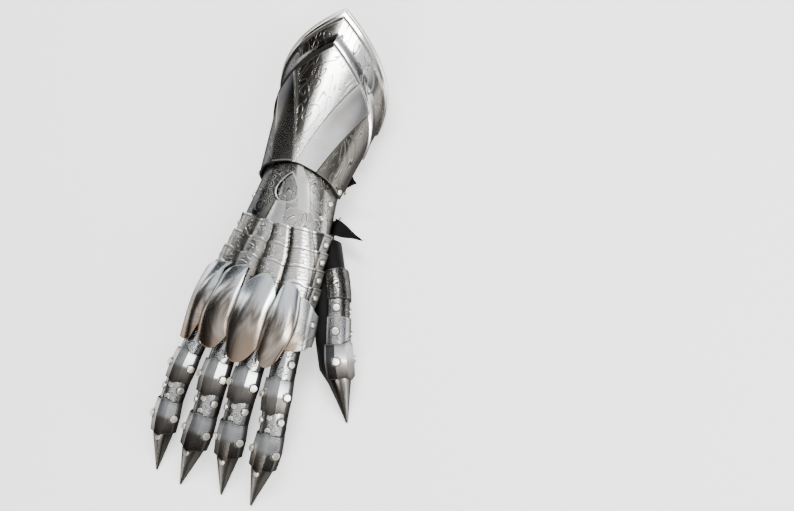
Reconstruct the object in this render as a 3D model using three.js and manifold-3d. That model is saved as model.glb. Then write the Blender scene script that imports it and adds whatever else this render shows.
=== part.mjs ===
// A right-hand plate gauntlet with clawed fingers, lying palm down, in millimetres.
// +X is the thumb's side, +Y runs from the fingers to the cuff, +Z is up from the table.
// Distances along the hand start at the wrist fold and are positive towards the cuff.
import * as THREE from 'three';
import Module from 'manifold-3d';

const wasm = await Module();
wasm.setup();

// Main sizes
const handLength = 140;        // wrist fold to the front of the knuckles
const handWidth = 108;         // over the knuckle plate
const handHeight = 50;         // table to the leather over the back of the hand
const cuffLength = 146;        // front edge to the rear point, on the back of the arm
const cuffFront = 15;          // from the wrist fold to the cuff's front edge
const cuffRearHalf = 59;       // half its width at the rear point
const cuffRearTop = 64;        // height of the cuff's back at the rear point
const cuffEdgeHeight = 20;     // height of the side edges at the front, falling to the table at the rear point
const cuffCentre = 0.0555 * handWidth;   // sideways place of the arm's centre line
const cuffSideDrop = 80;       // how far the rear edge falls back at the sides
const bandRise = 1.6;          // raised bands of the cuff
const rimRise = 1.8;           // rolled rim of the cuff

// Walls and clearances
const steel = 1.2;             // wall of the plates
const cuffWall = 1.5;
const leather = 1.6;           // wall of the glove
const seat = 0.5;              // clearance between two pieces that lie on each other
const tuck = 5;                // how far a plate reaches under the next one

// The cuff's front end goes over the wrist with its two layers of plates.
const wristHalf = 0.291 * handWidth;     // the leather's half width under the cuff's front edge
const wristTop = 1.11 * handHeight;      // and its height
const cuffEase = 2.1;                    // room between the upper plate and the cuff
const cuffOver = 2 * (seat + steel) + cuffEase + cuffWall;
const cuffFrontHalf = wristHalf + cuffOver;
const cuffFrontTop = wristTop + cuffOver;

// Rivets
const rivetSides = 6;
const sideRivet = { radius: 2.6, height: 1.8 };
const fingerRivet = { radius: 3.2, height: 1.5 };

// Finger sizes
const fingerLeather = 8.6;     // outer radius of the leather finger
const fingerSteel = 1.0;       // wall of the finger plates
const fingerSeat = 0.4;
const fingerLength = 141;      // knuckle to claw tip
const capRidge = 1.0;          // how far a cap's cross crease stands out
const capPeak = 0.02;          // how far its pointed edges run on, share of the finger's length
const clawTipRadius = 0.9;
const thumbLeather = 8.8;

// Straps
const strapWidth = 15;
const strapThick = 2.2;
const strapSlack = 1.0;        // between a strap and the leather at the sides
const wristTongue = 32;        // free pointed end of the wrist strap
const forearmTongue = 9;
const buckleBar = 2.4;         // thickness of a buckle's bars
const buckleReach = 11;        // length of a buckle along its strap
const prongThick = 1.8;

const degree = Math.PI / 180;
const up = new THREE.Vector3(0, 0, 1);

const metal = new THREE.MeshStandardMaterial({ color: 0xa8a8a4, roughness: 0.32, metalness: 1 });
const polished = new THREE.MeshStandardMaterial({ color: 0xc4c6c8, roughness: 0.16, metalness: 1 });
const hide = new THREE.MeshStandardMaterial({ color: 0x141414, roughness: 0.75, metalness: 0 });
const buckleSteel = new THREE.MeshStandardMaterial({ color: 0xb0b0b0, roughness: 0.3, metalness: 1 });

// Sections of the leather over the hand: `along` is a share of handLength towards the fingers,
// `centre` and `half` are shares of handWidth, `top` is a share of handHeight, and `square` is the
// exponent of the section, 2 for an ellipse.
const handSections = [
  { along: -0.80, centre: 0.055, half: 0.370, top: 1.10, square: 2.0 },
  { along: -0.18, centre: 0.055, half: 0.290, top: 1.12, square: 2.0 },
  { along: -0.07, centre: 0.055, half: 0.292, top: 1.10, square: 2.0 },
  { along: 0.07, centre: 0.057, half: 0.312, top: 1.03, square: 2.1 },
  { along: 0.22, centre: 0.058, half: 0.336, top: 0.98, square: 2.2 },
  { along: 0.40, centre: 0.054, half: 0.368, top: 0.95, square: 2.3 },
  { along: 0.57, centre: 0.048, half: 0.408, top: 0.93, square: 2.4 },
  { along: 0.75, centre: 0.044, half: 0.438, top: 0.93, square: 2.4 },
  { along: 0.90, centre: 0.050, half: 0.452, top: 0.90, square: 2.4 },
  { along: 1.12, centre: 0.052, half: 0.456, top: 0.80, square: 2.3 },
];
const waistShare = 0.45;       // height of the widest place, as a share of handHeight

// Ridges of the flutes and of the knuckle lobes, from the little finger's to the forefinger's, as
// shares of handWidth from the table's centre line.
const fluteRows = [
  { along: 0.25, ridges: [-0.16, 0.00, 0.11, 0.24] },
  { along: 0.43, ridges: [-0.24, -0.04, 0.12, 0.32] },
  { along: 0.62, ridges: [-0.28, -0.08, 0.12, 0.34] },
  { along: 0.80, ridges: [-0.31, -0.11, 0.11, 0.34] },
];
const fluteRise = 2.8;

// The knuckle plate's lines, from the little finger's side to the thumb's. Each runs from the wrist side
// to the finger side. `across` holds shares of half the plate's width from its centre, `along` shares of
// handLength, and `rise` says whether the line is a ridge, 1, or a valley, 0.
const knuckleLines = [
  { across: [-1.16, -1.16, -1.14, -1.10], along: [0.67, 0.78, 0.92, 1.01], rise: 0.0 },
  { across: [-0.96, -0.94, -0.93, -0.93], along: [0.62, 0.76, 0.92, 1.05], rise: 0.35 },
  { across: [-0.38, -0.66, -0.74, -0.71], along: [0.565, 0.72, 0.90, 1.07], rise: 1.0 },
  { across: [-0.50, -0.54, -0.62, -0.63], along: [0.645, 0.76, 0.87, 0.955], rise: 0.0 },
  { across: [-0.10, -0.32, -0.38, -0.33], along: [0.560, 0.73, 0.92, 1.085], rise: 1.0 },
  { across: [-0.13, -0.14, -0.16, -0.13], along: [0.705, 0.79, 0.90, 0.985], rise: 0.0 },
  { across: [0.17, 0.10, 0.05, 0.05], along: [0.582, 0.76, 0.94, 1.12], rise: 1.0 },
  { across: [0.37, 0.33, 0.31, 0.31], along: [0.700, 0.79, 0.90, 0.995], rise: 0.0 },
  { across: [0.48, 0.56, 0.53, 0.46], along: [0.583, 0.76, 0.94, 1.10], rise: 1.0 },
  { across: [0.72, 0.76, 0.74, 0.68], along: [0.640, 0.76, 0.88, 0.965], rise: 0.1 },
  { across: [0.95, 0.95, 0.95, 0.94], along: [0.690, 0.77, 0.85, 0.925], rise: 0.0 },
  { across: [1.07, 1.07, 1.06, 1.04], along: [0.705, 0.77, 0.84, 0.895], rise: 0.0 },
];
const knuckleRise = 5;
const knuckleLiftRear = 10.2;  // the flame tips stand off the lames
const knuckleLiftMid = 8.0;
const knuckleLiftFront = 8.6;

// Fingers. `root`, `first`, `second` and `tip` are places of the bone line: sideways as a share of
// handWidth, height as a share of handHeight. `reach` is a share of fingerLength, `girth` scales widths,
// and `start` is where the leather finger starts, a share of its length.
const fingerSides = {
  index: [0.400, 0.440, 0.478, 0.440],
  middle: [0.175, 0.170, 0.175, 0.185],
  ring: [-0.075, -0.086, -0.090, -0.160],
  pinky: [-0.322, -0.378, -0.403, -0.388],
};
const fingers = [
  { name: 'index', reach: 0.950, girth: 1.0, start: 0.012, height: [0.66, 0.60, 0.44, 0.028] },
  { name: 'middle', reach: 0.945, girth: 1.0, start: 0.008, height: [0.68, 0.62, 0.46, 0.028] },
  { name: 'ring', reach: 0.965, girth: 1.0, start: 0.008, height: [0.66, 0.60, 0.44, 0.028] },
  { name: 'pinky', reach: 0.928, girth: 0.9, start: 0.012, height: [0.55, 0.50, 0.37, 0.028] },
];
const boneShares = [0, 0.31, 0.61, 1];       // where `first`, `second` and `tip` lie along a finger
const rootAlong = 0.915;                     // finger roots, share of handLength

// Stations along a finger, as shares of its length
const stations = {
  plate1: [0.035, 0.262],
  capA: [0.222, 0.420],
  plate2: [0.375, 0.590],
  capB: [0.548, 0.748],
  claw: [0.705, 1],
  leatherEnd: 0.77,
};

// The thumb's bone line, in the same shares, with places along the hand as shares of handLength
const thumb = {
  side: [0.41, 0.620, 0.775, 0.963],
  along: [0.24, 0.53, 0.90, 1.245],
  height: [0.24, 0.46, 0.42, 0.030],
  roll: 62,
};
const thumbStations = {
  base: [0.19, 0.35],
  plate1: [0.32, 0.475],
  plate2: [0.44, 0.605],
  cap: [0.575, 0.745],
  claw: [0.71, 1],
  leatherEnd: 0.93,
};

// Solids from points

function solidFromMesh(points, triangles) {
  const vertProperties = new Float32Array(points.length * 3);
  points.forEach((p, i) => vertProperties.set([p.x, p.y, p.z], i * 3));
  let volume = 0;
  for (const [a, b, c] of triangles) {
    volume += points[a].dot(new THREE.Vector3().crossVectors(points[b], points[c]));
  }
  const turned = volume < 0 ? triangles.map(([a, b, c]) => [a, c, b]) : triangles;
  const mesh = new wasm.Mesh({ numProp: 3, vertProperties, triVerts: new Uint32Array(turned.flat()) });
  return new wasm.Manifold(mesh);
}

// A closed loft through rings of equal point counts, with a flat fan at both ends.
function loft(rings) {
  const points = rings.flat();
  const sides = rings[0].length;
  const triangles = [];
  for (let r = 0; r + 1 < rings.length; r++) {
    for (let i = 0; i < sides; i++) {
      const a = r * sides + i;
      const b = r * sides + (i + 1) % sides;
      triangles.push([a, b, b + sides], [a, b + sides, a + sides]);
    }
  }
  for (const [ring, start] of [[rings[0], 0], [rings.at(-1), (rings.length - 1) * sides]]) {
    const centre = new THREE.Vector3();
    ring.forEach((p) => centre.addScaledVector(p, 1 / sides));
    points.push(centre);
    const hub = points.length - 1;
    for (let i = 0; i < sides; i++) {
      const next = (i + 1) % sides;
      triangles.push(start === 0 ? [hub, start + next, start + i] : [hub, start + i, start + next]);
    }
  }
  return solidFromMesh(points, triangles);
}

// A bent plate: `surface(u, v)` is its outer face, and the wall lies inside it.
function plate(surface, us, vs, wall) {
  const across = us.length;
  const rows = vs.length;
  const outer = [];
  for (const v of vs) for (const u of us) outer.push(surface(u, v));
  const at = (i, j) => outer[j * across + i];
  const centre = new THREE.Vector3();
  outer.forEach((p) => centre.addScaledVector(p, 1 / outer.length));
  const normals = [];
  let facing = 0;
  for (let j = 0; j < rows; j++) {
    for (let i = 0; i < across; i++) {
      const du = new THREE.Vector3().subVectors(at(Math.min(i + 1, across - 1), j), at(Math.max(i - 1, 0), j));
      const dv = new THREE.Vector3().subVectors(at(i, Math.min(j + 1, rows - 1)), at(i, Math.max(j - 1, 0)));
      const normal = du.cross(dv).normalize();
      normals.push(normal);
      facing += normal.dot(new THREE.Vector3().subVectors(at(i, j), centre));
    }
  }
  const depth = facing > 0 ? -wall : wall;
  const inner = outer.map((p, k) => p.clone().addScaledVector(normals[k], depth));
  const count = outer.length;
  const triangles = [];
  for (let j = 0; j + 1 < rows; j++) {
    for (let i = 0; i + 1 < across; i++) {
      const a = j * across + i;
      const [b, c, d] = [a + 1, a + 1 + across, a + across];
      triangles.push([a, b, c], [a, c, d], [a + count, c + count, b + count], [a + count, d + count, c + count]);
    }
  }
  const rim = [];
  for (let i = 0; i + 1 < across; i++) rim.push(i);
  for (let j = 0; j + 1 < rows; j++) rim.push(j * across + across - 1);
  for (let i = across - 1; i > 0; i--) rim.push((rows - 1) * across + i);
  for (let j = rows - 1; j > 0; j--) rim.push(j * across);
  rim.forEach((a, k) => {
    const b = rim[(k + 1) % rim.length];
    triangles.push([a, a + count, b + count], [a, b + count, b]);
  });
  return solidFromMesh([...outer, ...inner], triangles);
}

// A domed rivet head on a face, its lower end sunk in the wall.
function rivet(place, normal, { radius, height }, wall) {
  const side = new THREE.Vector3().crossVectors(normal, Math.abs(normal.z) < 0.9 ? up : new THREE.Vector3(1, 0, 0));
  side.normalize();
  const other = new THREE.Vector3().crossVectors(normal, side);
  const levels = [[1, -wall * 0.7], [1, height * 0.35], [0.62, height]];
  const rings = levels.map(([share, level]) => {
    const ring = [];
    for (let i = 0; i < rivetSides; i++) {
      const turn = (i / rivetSides) * 2 * Math.PI;
      ring.push(place.clone()
        .addScaledVector(normal, level)
        .addScaledVector(side, Math.cos(turn) * radius * share)
        .addScaledVector(other, Math.sin(turn) * radius * share));
    }
    return ring;
  });
  return loft(rings);
}

// The facet of a grid that holds u, v: its place there and its outward normal, where `inside` is under it.
function onFacet(surface, us, vs, u, v, inside) {
  const cell = (list, value) => Math.max(list.findLastIndex((edge, i) => edge <= value && i < list.length - 1), 0);
  const i = cell(us, u);
  const j = cell(vs, v);
  const s = (u - us[i]) / (us[i + 1] - us[i]);
  const t = (v - vs[j]) / (vs[j + 1] - vs[j]);
  const front = [surface(us[i], vs[j]), surface(us[i + 1], vs[j])];
  const rear = [surface(us[i], vs[j + 1]), surface(us[i + 1], vs[j + 1])];
  const place = front[0].clone().lerp(front[1], s).lerp(rear[0].clone().lerp(rear[1], s), t);
  const normal = rear[1].sub(front[0]).cross(rear[0].sub(front[1])).normalize();
  if (normal.dot(place.clone().sub(inside)) < 0) normal.negate();
  return { place, normal };
}

// A bent plate with a rivet at each of the spots, which are places u, v of its surface.
function rivetedPlate(surface, us, vs, wall, spots, size, inside, pierce = null) {
  let body = plate(surface, us, vs, wall);
  if (pierce) body = body.subtract(pierce);
  for (const [u, v] of spots) {
    const { place, normal } = onFacet(surface, us, vs, u, v, inside);
    body = body.add(rivet(place, normal, size, wall));
  }
  return body;
}

function steps(from, to, count) {
  return Array.from({ length: count + 1 }, (_, i) => from + ((to - from) * i) / count);
}

function mix(a, b, t) {
  return a + (b - a) * t;
}

function clamp(value, low, high) {
  return Math.min(high, Math.max(low, value));
}

// A smooth curve through four values at four increasing places.
function through(places, values, at) {
  let k = 0;
  while (k < places.length - 2 && at > places[k + 1]) k++;
  const slope = (i) => {
    const a = Math.max(i - 1, 0);
    const b = Math.min(i + 1, places.length - 1);
    return (values[b] - values[a]) / (places[b] - places[a]);
  };
  const span = places[k + 1] - places[k];
  const t = (at - places[k]) / span;
  const h = [2 * t ** 3 - 3 * t ** 2 + 1, t ** 3 - 2 * t ** 2 + t, -2 * t ** 3 + 3 * t ** 2, t ** 3 - t ** 2];
  return h[0] * values[k] + h[1] * span * slope(k) + h[2] * values[k + 1] + h[3] * span * slope(k + 1);
}

// The hand's section at a distance y, from the table of sections.
const sectionPlaces = handSections.map((s) => s.along);

function handSection(y) {
  const along = -y / handLength;
  const read = (key) => through(sectionPlaces, handSections.map((s) => s[key]), along);
  return {
    centre: read('centre') * handWidth,
    half: read('half') * handWidth,
    top: read('top') * handHeight,
    square: read('square'),
    waist: waistShare * handHeight,
  };
}

function powered(value, exponent) {
  return Math.sign(value) * Math.abs(value) ** exponent;
}

// A point over the back of the hand: `turn` is the angle from the top line, `lift` the height over the leather.
function overHand(turn, y, lift) {
  const s = handSection(y);
  const power = 2 / s.square;
  return new THREE.Vector3(
    s.centre + (s.half + lift) * powered(Math.sin(turn), power),
    y,
    s.waist + (s.top - s.waist + lift) * powered(Math.cos(turn), power),
  );
}

// The angle of a place across the hand, where 1 is half the width and more than that goes round the side.
function turnAcross(share, square = 2.2) {
  const knee = 0.95;
  const kneeTurn = Math.asin(knee ** (square / 2));
  const size = Math.abs(share);
  const turn = size <= knee
    ? Math.asin(size ** (square / 2))
    : kneeTurn + ((size - knee) / (1.2 - knee)) * (106 * degree - kneeTurn);
  return Math.sign(share) * turn;
}

// How far the flutes stand out at x, y.
function fluteAt(x, y) {
  const along = -y / handLength;
  const places = fluteRows.map((r) => r.along);
  const ridges = [0, 1, 2, 3].map((k) => handWidth * through(places, fluteRows.map((r) => r.ridges[k]), along));
  let best = 0;
  ridges.forEach((ridge, k) => {
    const other = x < ridge ? ridges[k - 1] : ridges[k + 1];
    const reach = other === undefined ? 0.1 * handWidth : Math.abs(other - ridge) / 2;
    const away = Math.abs(x - ridge) / reach;
    if (away < 1) best = Math.max(best, 0.5 + 0.5 * Math.cos(Math.PI * away));
  });
  return best * fluteRise;
}

// Plates over the back of the hand

const lameTops = [0.265, 0.378, 0.487, 0.600, 0.700];   // wrist-side edges, shares of handLength; the last is the end
const lameSweep = 0.055 * handLength;                   // the edges run towards the wrist at the sides
const plateLift = {
  wristLame: seat + steel + 0.2,
  wristPlate: 2 * (seat + steel) + 0.2,
  lameLow: 2 * (seat + steel) - 0.2,
  lameHigh: 3 * (seat + steel) + 1.3,
};
const lameColumns = [-102, -80, -58, -46, -37, -28, -19, -11, -3, 4, 11, 18, 26, 35, 45, 60, 82];

function lame(index) {
  const rear = -lameTops[index] * handLength;
  const front = -lameTops[index + 1] * handLength - tuck;
  const surface = (u, v) => {
    const turn = u * degree;
    const y = mix(front, rear, v) + lameSweep * Math.sin(turn) ** 2;
    const lift = mix(plateLift.lameLow, plateLift.lameHigh, v);
    const flat = overHand(turn, y, lift);
    return overHand(turn, y, lift + fluteAt(flat.x, y));
  };
  const inside = new THREE.Vector3(0, (front + rear) / 2, 0);
  return rivetedPlate(surface, lameColumns, [0, 1], steel, [[72, 0.55], [-78, 0.55]], sideRivet, inside);
}

function wristLame() {
  const rear = cuffFront + 10;
  const front = -0.27 * handLength;
  const surface = (u, v) => {
    const turn = u * degree;
    const y = mix(front, rear, v) + 0.02 * handLength * Math.sin(turn) ** 2;
    return overHand(turn, y, plateLift.wristLame);
  };
  const inside = new THREE.Vector3(0, 0, 0);
  return rivetedPlate(surface, steps(-98, 88, 13), steps(0, 1, 3), steel, [[70, 0.50]], sideRivet, inside);
}

// The wrist plate's right edge runs in towards the top, which bares the lame under it.
const wingEdge = { places: [-0.31, -0.27, -0.14, -0.04, 0.05, 0.12], turns: [76, 74, 66, 42, 24, 12] };
const eyeHole = { top: 8, bottom: -16, left: -5, right: 16.5, centre: 6.5 };

function wristPlate() {
  const front = -0.286 * handLength;
  const rear = cuffFront + 3;
  const surface = (u, v) => {
    const y = mix(front, rear, v);
    const right = through(wingEdge.places, wingEdge.turns, y / handLength) * degree;
    const left = mix(-100, -74, v) * degree;
    const turn = mix(left, right, (u + 1) / 2);
    const sweep = 0.035 * handLength * Math.sin(turn) ** 2 * (1 - v);
    return overHand(turn, y + sweep, plateLift.wristPlate);
  };
  const outline = [];
  for (let i = 0; i < 14; i++) {
    const turn = (i / 14) * 2 * Math.PI;
    const fall = (1 - Math.cos(turn)) / 2;
    const width = Math.sin(turn) * Math.sqrt(fall) * 1.1;
    const half = width < 0 ? eyeHole.centre - eyeHole.left : eyeHole.right - eyeHole.centre;
    outline.push([eyeHole.centre + width * half, mix(eyeHole.top, eyeHole.bottom, fall)]);
  }
  const rings = [0, 2 * handHeight].map((z) => outline.map(([x, y]) => new THREE.Vector3(x, y, z)));
  const inside = new THREE.Vector3(0, front / 2, 0);
  const spots = [[0.86, 0.32], [-0.72, 0.42]];
  return rivetedPlate(surface, steps(-1, 1, 14), steps(0, 1, 5), steel, spots, sideRivet, inside, loft(rings));
}

// The knuckle plate

const knuckleHalf = handWidth / 2;
const linePlaces = [0, 0.36, 0.70, 1];
const fold = 2;                // steps between two lines of the table

function knuckleSurface(u, v) {
  const last = knuckleLines.length - 1;
  const k = clamp(Math.floor(u), 0, last - 1);
  const t = u - k;
  const here = knuckleLines[k];
  const next = knuckleLines[k + 1];
  const smooth = t * t * (3 - 2 * t);
  const across = mix(through(linePlaces, here.across, v), through(linePlaces, next.across, v), t);
  const along = mix(through(linePlaces, here.along, v), through(linePlaces, next.along, v), t);
  const y = -along * handLength;
  const share = clamp((along - 0.56) / 0.54, 0, 1);
  const lift = through([0, 0.45, 1], [knuckleLiftRear, knuckleLiftMid, knuckleLiftFront], share);
  const side = 1 - clamp((Math.abs(across) - 0.6) / 0.5, 0, 1);
  const over = mix(plateLift.lameHigh + steel + seat, lift, side);
  const rise = mix(here.rise, next.rise, smooth) * knuckleRise * (0.55 + 0.45 * Math.sin(Math.PI * clamp(v, 0, 1)));
  return overHand(turnAcross(across), y, over + rise);
}

function knucklePlate() {
  const us = steps(0, knuckleLines.length - 1, (knuckleLines.length - 1) * fold);
  const inside = new THREE.Vector3(0, -handLength * 0.8, 0);
  return rivetedPlate(knuckleSurface, us, steps(0, 1, 5), steel, [[10.2, 0.35]], sideRivet, inside);
}

// The cuff

function cuffPoint(turn, y, lift) {
  const t = (y - cuffFront) / cuffLength;
  const half = mix(cuffFrontHalf, cuffRearHalf, t);
  const top = mix(cuffFrontTop, cuffRearTop, t);
  const edge = cuffEdgeHeight * (1 - t);
  const span = 1 - Math.cos(cuffTurn);
  const radius = (top - edge) / span;
  return new THREE.Vector3(
    cuffCentre + (half + lift) * Math.sin(turn),
    y,
    top - radius + (radius + lift) * Math.cos(turn),
  );
}

const cuffTurn = 105 * degree;
const cuffRear = cuffFront + cuffLength;
// Angles of the V bands' edges, in degrees: at the front edge of the cuff and at the border rib
const bandInner = [2, 35];
const bandOuter = [32, 63];
const borderShare = 0.225;      // width of the rim and border band, share of the length
const rimShare = 0.045;
const bevel = 1.4;              // degrees taken by a band's sloping side

function cuffFrontEdge(turn) {
  return cuffFront - 0.075 * cuffLength * Math.sin(turn) ** 4;
}

function cuffRearEdge(turn) {
  return cuffRear - cuffSideDrop * (Math.abs(turn) / cuffTurn);
}

const cuffLines = [
  [0, 0, 0],
  [1, bandInner[0] * 0.5, 14],
  [2, bandInner[0], bandInner[1]],
  [3, bandInner[0] + bevel, bandInner[1] + bevel],
  [4, 17, 49],
  [5, bandOuter[0] - bevel, bandOuter[1] - bevel],
  [6, bandOuter[0], bandOuter[1]],
  [7, 62, 82],
  [8, 86, 95],
  [9, 105, 105],
];
const cuffLift = [0, 0, 0, 1, 1, 1, 0, 0, 0, 0];
const cuffRows = [
  { place: 0, border: 0 },
  { place: 0.25, border: 0 },
  { place: 0.5, border: 0 },
  { place: 0.75, border: 0 },
  { place: 0.98, border: 0 },
  { place: 1, border: 1 },
  { place: 1.35, border: 0 },
  { place: 1.74, border: 0 },
  { place: 1.80, border: 1 },
  { place: 2, border: 1 },
];

function cuffSurface(u, v) {
  const size = Math.min(Math.abs(u), 9);
  const k = Math.min(Math.floor(size), 8);
  const t = size - k;
  const row = clamp(v, 0, 9);
  const j = Math.min(Math.floor(row), 8);
  const s = row - j;
  const place = mix(cuffRows[j].place, cuffRows[j + 1].place, s);
  const border = mix(cuffRows[j].border, cuffRows[j + 1].border, s);
  const run = Math.min(place, 1);
  const low = mix(cuffLines[k][1], cuffLines[k + 1][1], t);
  const high = mix(cuffLines[k][2], cuffLines[k + 1][2], t);
  const turn = Math.sign(u) * mix(low, high, run) * degree;
  const front = cuffFrontEdge(turn);
  const rear = cuffRearEdge(turn);
  const rib = rear - borderShare * cuffLength;
  const y = place <= 1 ? mix(front, rib, place) : mix(rib, rear, place - 1);
  const band = place < 1 ? mix(cuffLift[k], cuffLift[k + 1], t) * bandRise : 0;
  return cuffPoint(turn, y, Math.max(band, border * rimRise));
}

function cuff() {
  const inside = new THREE.Vector3(cuffCentre, cuffFront, 0);
  const spots = [[7.85, 0.25], [-7.85, 0.25]];
  return rivetedPlate(cuffSurface, steps(-9, 9, 18), steps(0, 9, 9), cuffWall, spots, sideRivet, inside);
}

// Bone lines: a path with a frame whose `out` axis points away from the palm

function bonePath(places, points, roll) {
  const point = (s) => new THREE.Vector3(
    through(places, points.map((p) => p.x), s),
    through(places, points.map((p) => p.y), s),
    through(places, points.map((p) => p.z), s),
  );
  const frame = (s) => {
    const along = point(s + 0.01).sub(point(s - 0.01)).normalize();
    const side = new THREE.Vector3().crossVectors(up, along).normalize().negate();
    const out = new THREE.Vector3().crossVectors(along, side).negate();
    if (out.z < 0) out.negate();
    side.applyAxisAngle(along, -roll);
    out.applyAxisAngle(along, -roll);
    return { origin: point(s), along, side, out };
  };
  return frame;
}

function roundPath(frame, turn, s, radius) {
  const f = frame(s);
  return f.origin.clone()
    .addScaledVector(f.side, radius * Math.sin(turn))
    .addScaledVector(f.out, radius * Math.cos(turn));
}

// A leather tube along a bone line, open at its root and round at its tip.
function leatherTube(frame, from, to, radius, sides) {
  const ring = (s, r) => steps(0, 360, sides).slice(0, sides).map((d) => roundPath(frame, d * degree, s, r));
  const places = [...steps(from, to - 0.05, 4), to - 0.02, to];
  const taper = [1, 1, 1, 0.98, 0.95, 0.82, 0.45];
  const outer = loft(places.map((s, i) => ring(s, radius * taper[i])));
  const innerPlaces = [from - 0.03, ...places.slice(1, 5), to - 0.035];
  const innerTaper = [1, 1, 1, 0.98, 0.94, 0.6];
  const inner = loft(innerPlaces.map((s, i) => ring(s, (radius - leather) * innerTaper[i])));
  return { tube: outer.subtract(inner), inner };
}

const rivetTurn = 56 / 98;       // the rivets of a finger's pieces, as a share of the turn of their side edges

function bothSides(v) {
  return [[rivetTurn, v], [-rivetTurn, v]];
}

const capColumns = [-98, -58, -20, 0, 20, 58, 98];
const plateColumns = [-98, -74, -50, -26, 0, 26, 50, 74, 98];

// A knuckle cap: five flat facets across, a cross crease at mid length and pointed edges on the back,
// with a rivet on each side.
function knuckleCap(frame, [from, to], radius) {
  const surface = (u, v) => {
    const degrees = u * 98;
    const point = Math.max(0, 1 - Math.abs(degrees) / 30);
    const start = from - capPeak * point;
    const end = to + capPeak * point;
    const s = mix(start, end, v);
    const crease = 1 - Math.abs(v - 0.5) * 2;
    const flat = Math.abs(degrees) < 20 ? Math.cos(20 * degree) / Math.cos(degrees * degree) : 1;
    return roundPath(frame, degrees * degree, s, (radius + capRidge * crease) * flat);
  };
  const us = capColumns.map((d) => d / 98);
  const inside = frame((from + to) / 2).origin;
  return rivetedPlate(surface, us, [0, 0.5, 1], fingerSteel, bothSides(0.5), fingerRivet, inside);
}

// A bent finger plate between two caps; `rivetPlace` is where its rivets are along it, or null for none.
function fingerPlate(frame, [from, to], radius, rivetPlace) {
  const surface = (u, v) => {
    const s = mix(from, to, v);
    return roundPath(frame, u * 98 * degree, s, radius);
  };
  const us = plateColumns.map((d) => d / 98);
  const inside = frame((from + to) / 2).origin;
  const spots = rivetPlace === null ? [] : bothSides(rivetPlace);
  return rivetedPlate(surface, us, [0, 0.5, 1], fingerSteel, spots, fingerRivet, inside);
}

// A hollow claw: a cone with a bent line, open at its base.
function claw(frame, [from, to], radius) {
  const sides = 8;
  const ring = (s, r) => steps(0, 360, sides).slice(0, sides).map((d) => roundPath(frame, d * degree, s, r));
  const span = to - from;
  const outer = loft([
    ring(from, radius),
    ring(from + span * 0.12, radius),
    ring(from + span * 0.55, radius * 0.56),
    ring(to, clawTipRadius),
  ]);
  const inner = loft([
    ring(from - span * 0.05, radius - fingerSteel),
    ring(from + span * 0.10, radius - fingerSteel),
    ring(from + span * 0.50, (radius - fingerSteel) * 0.52),
  ]);
  return outer.subtract(inner);
}

const group = new THREE.Group();

function place(name, solid, material) {
  const mesh = solid.getMesh();
  const geometry = new THREE.BufferGeometry();
  geometry.setAttribute('position', new THREE.BufferAttribute(new Float32Array(mesh.vertProperties), 3));
  geometry.setIndex(new THREE.BufferAttribute(new Uint32Array(mesh.triVerts), 1));
  const node = new THREE.Mesh(geometry, material);
  node.name = name;
  group.add(node);
}

// Fingers

const facetHalf = 20 * degree;   // half the turn of a cap's widest facets

// Outer radius of a plate over a round piece, and of a faceted cap over a plate.
function overRound(radius) {
  return radius + fingerSeat + fingerSteel;
}

function capOver(radius) {
  return (radius + fingerSeat) / Math.cos(facetHalf) + fingerSteel;
}

function fingerFrame(finger) {
  const rootY = -rootAlong * handLength;
  const points = boneShares.map((share, i) => new THREE.Vector3(
    fingerSides[finger.name][i] * handWidth,
    rootY - share * finger.reach * fingerLength,
    finger.height[i] * handHeight,
  ));
  return bonePath(boneShares, points, 0);
}

const fingerTubes = [];

for (const finger of fingers) {
  const frame = fingerFrame(finger);
  const tubeRadius = fingerLeather * finger.girth;
  const tube = leatherTube(frame, finger.start, stations.leatherEnd, tubeRadius, 10);
  fingerTubes.push(tube);
  place(`glove_${finger.name}`, tube.tube, hide);
  const plateRadius = overRound(tubeRadius);
  const capRadius = capOver(plateRadius);
  place(`${finger.name}_plate_1`, fingerPlate(frame, stations.plate1, plateRadius, 0.4), metal);
  place(`${finger.name}_cap_a`, knuckleCap(frame, stations.capA, capRadius), metal);
  place(`${finger.name}_plate_2`, fingerPlate(frame, stations.plate2, plateRadius, 0.45), metal);
  place(`${finger.name}_cap_b`, knuckleCap(frame, stations.capB, capRadius), metal);
  place(`${finger.name}_claw`, claw(frame, stations.claw, plateRadius), metal);
}

// Thumb

const thumbPoints = thumb.side.map((side, i) => new THREE.Vector3(
  side * handWidth,
  -thumb.along[i] * handLength,
  thumb.height[i] * handHeight,
));
const thumbFrame = bonePath([0, 0.30, 0.64, 1], thumbPoints, thumb.roll * degree);
const thumbPlate = overRound(thumbLeather);
const thumbOver = overRound(thumbPlate);
place('thumb_base', fingerPlate(thumbFrame, thumbStations.base, thumbOver, null), metal);
place('thumb_plate_1', fingerPlate(thumbFrame, thumbStations.plate1, thumbPlate, 0.5), metal);
place('thumb_plate_2', fingerPlate(thumbFrame, thumbStations.plate2, thumbOver, 0.45), metal);
place('thumb_cap', knuckleCap(thumbFrame, thumbStations.cap, capOver(thumbOver)), metal);

// The thumb's leather is deeper on its palm side and runs to a point beside the claw, which is open there.
// Rings of the thumb's leather: `girth` scales its radius and `pad` its depth on the palm side.
const thumbRings = [
  { at: 0.00, girth: 1.10, pad: 1.7 },
  { at: 0.15, girth: 1.02, pad: 2.1 },
  { at: 0.31, girth: 1.00, pad: 2.1 },
  { at: 0.43, girth: 1.00, pad: 2.0 },
  { at: 0.55, girth: 1.00, pad: 1.9 },
  { at: 0.70, girth: 0.98, pad: 1.7 },
  { at: 0.78, girth: 0.68, pad: 1.9 },
  { at: 0.86, girth: 0.42, pad: 2.0 },
  { at: thumbStations.leatherEnd, girth: 0.15, pad: 2.0 },
];

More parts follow.
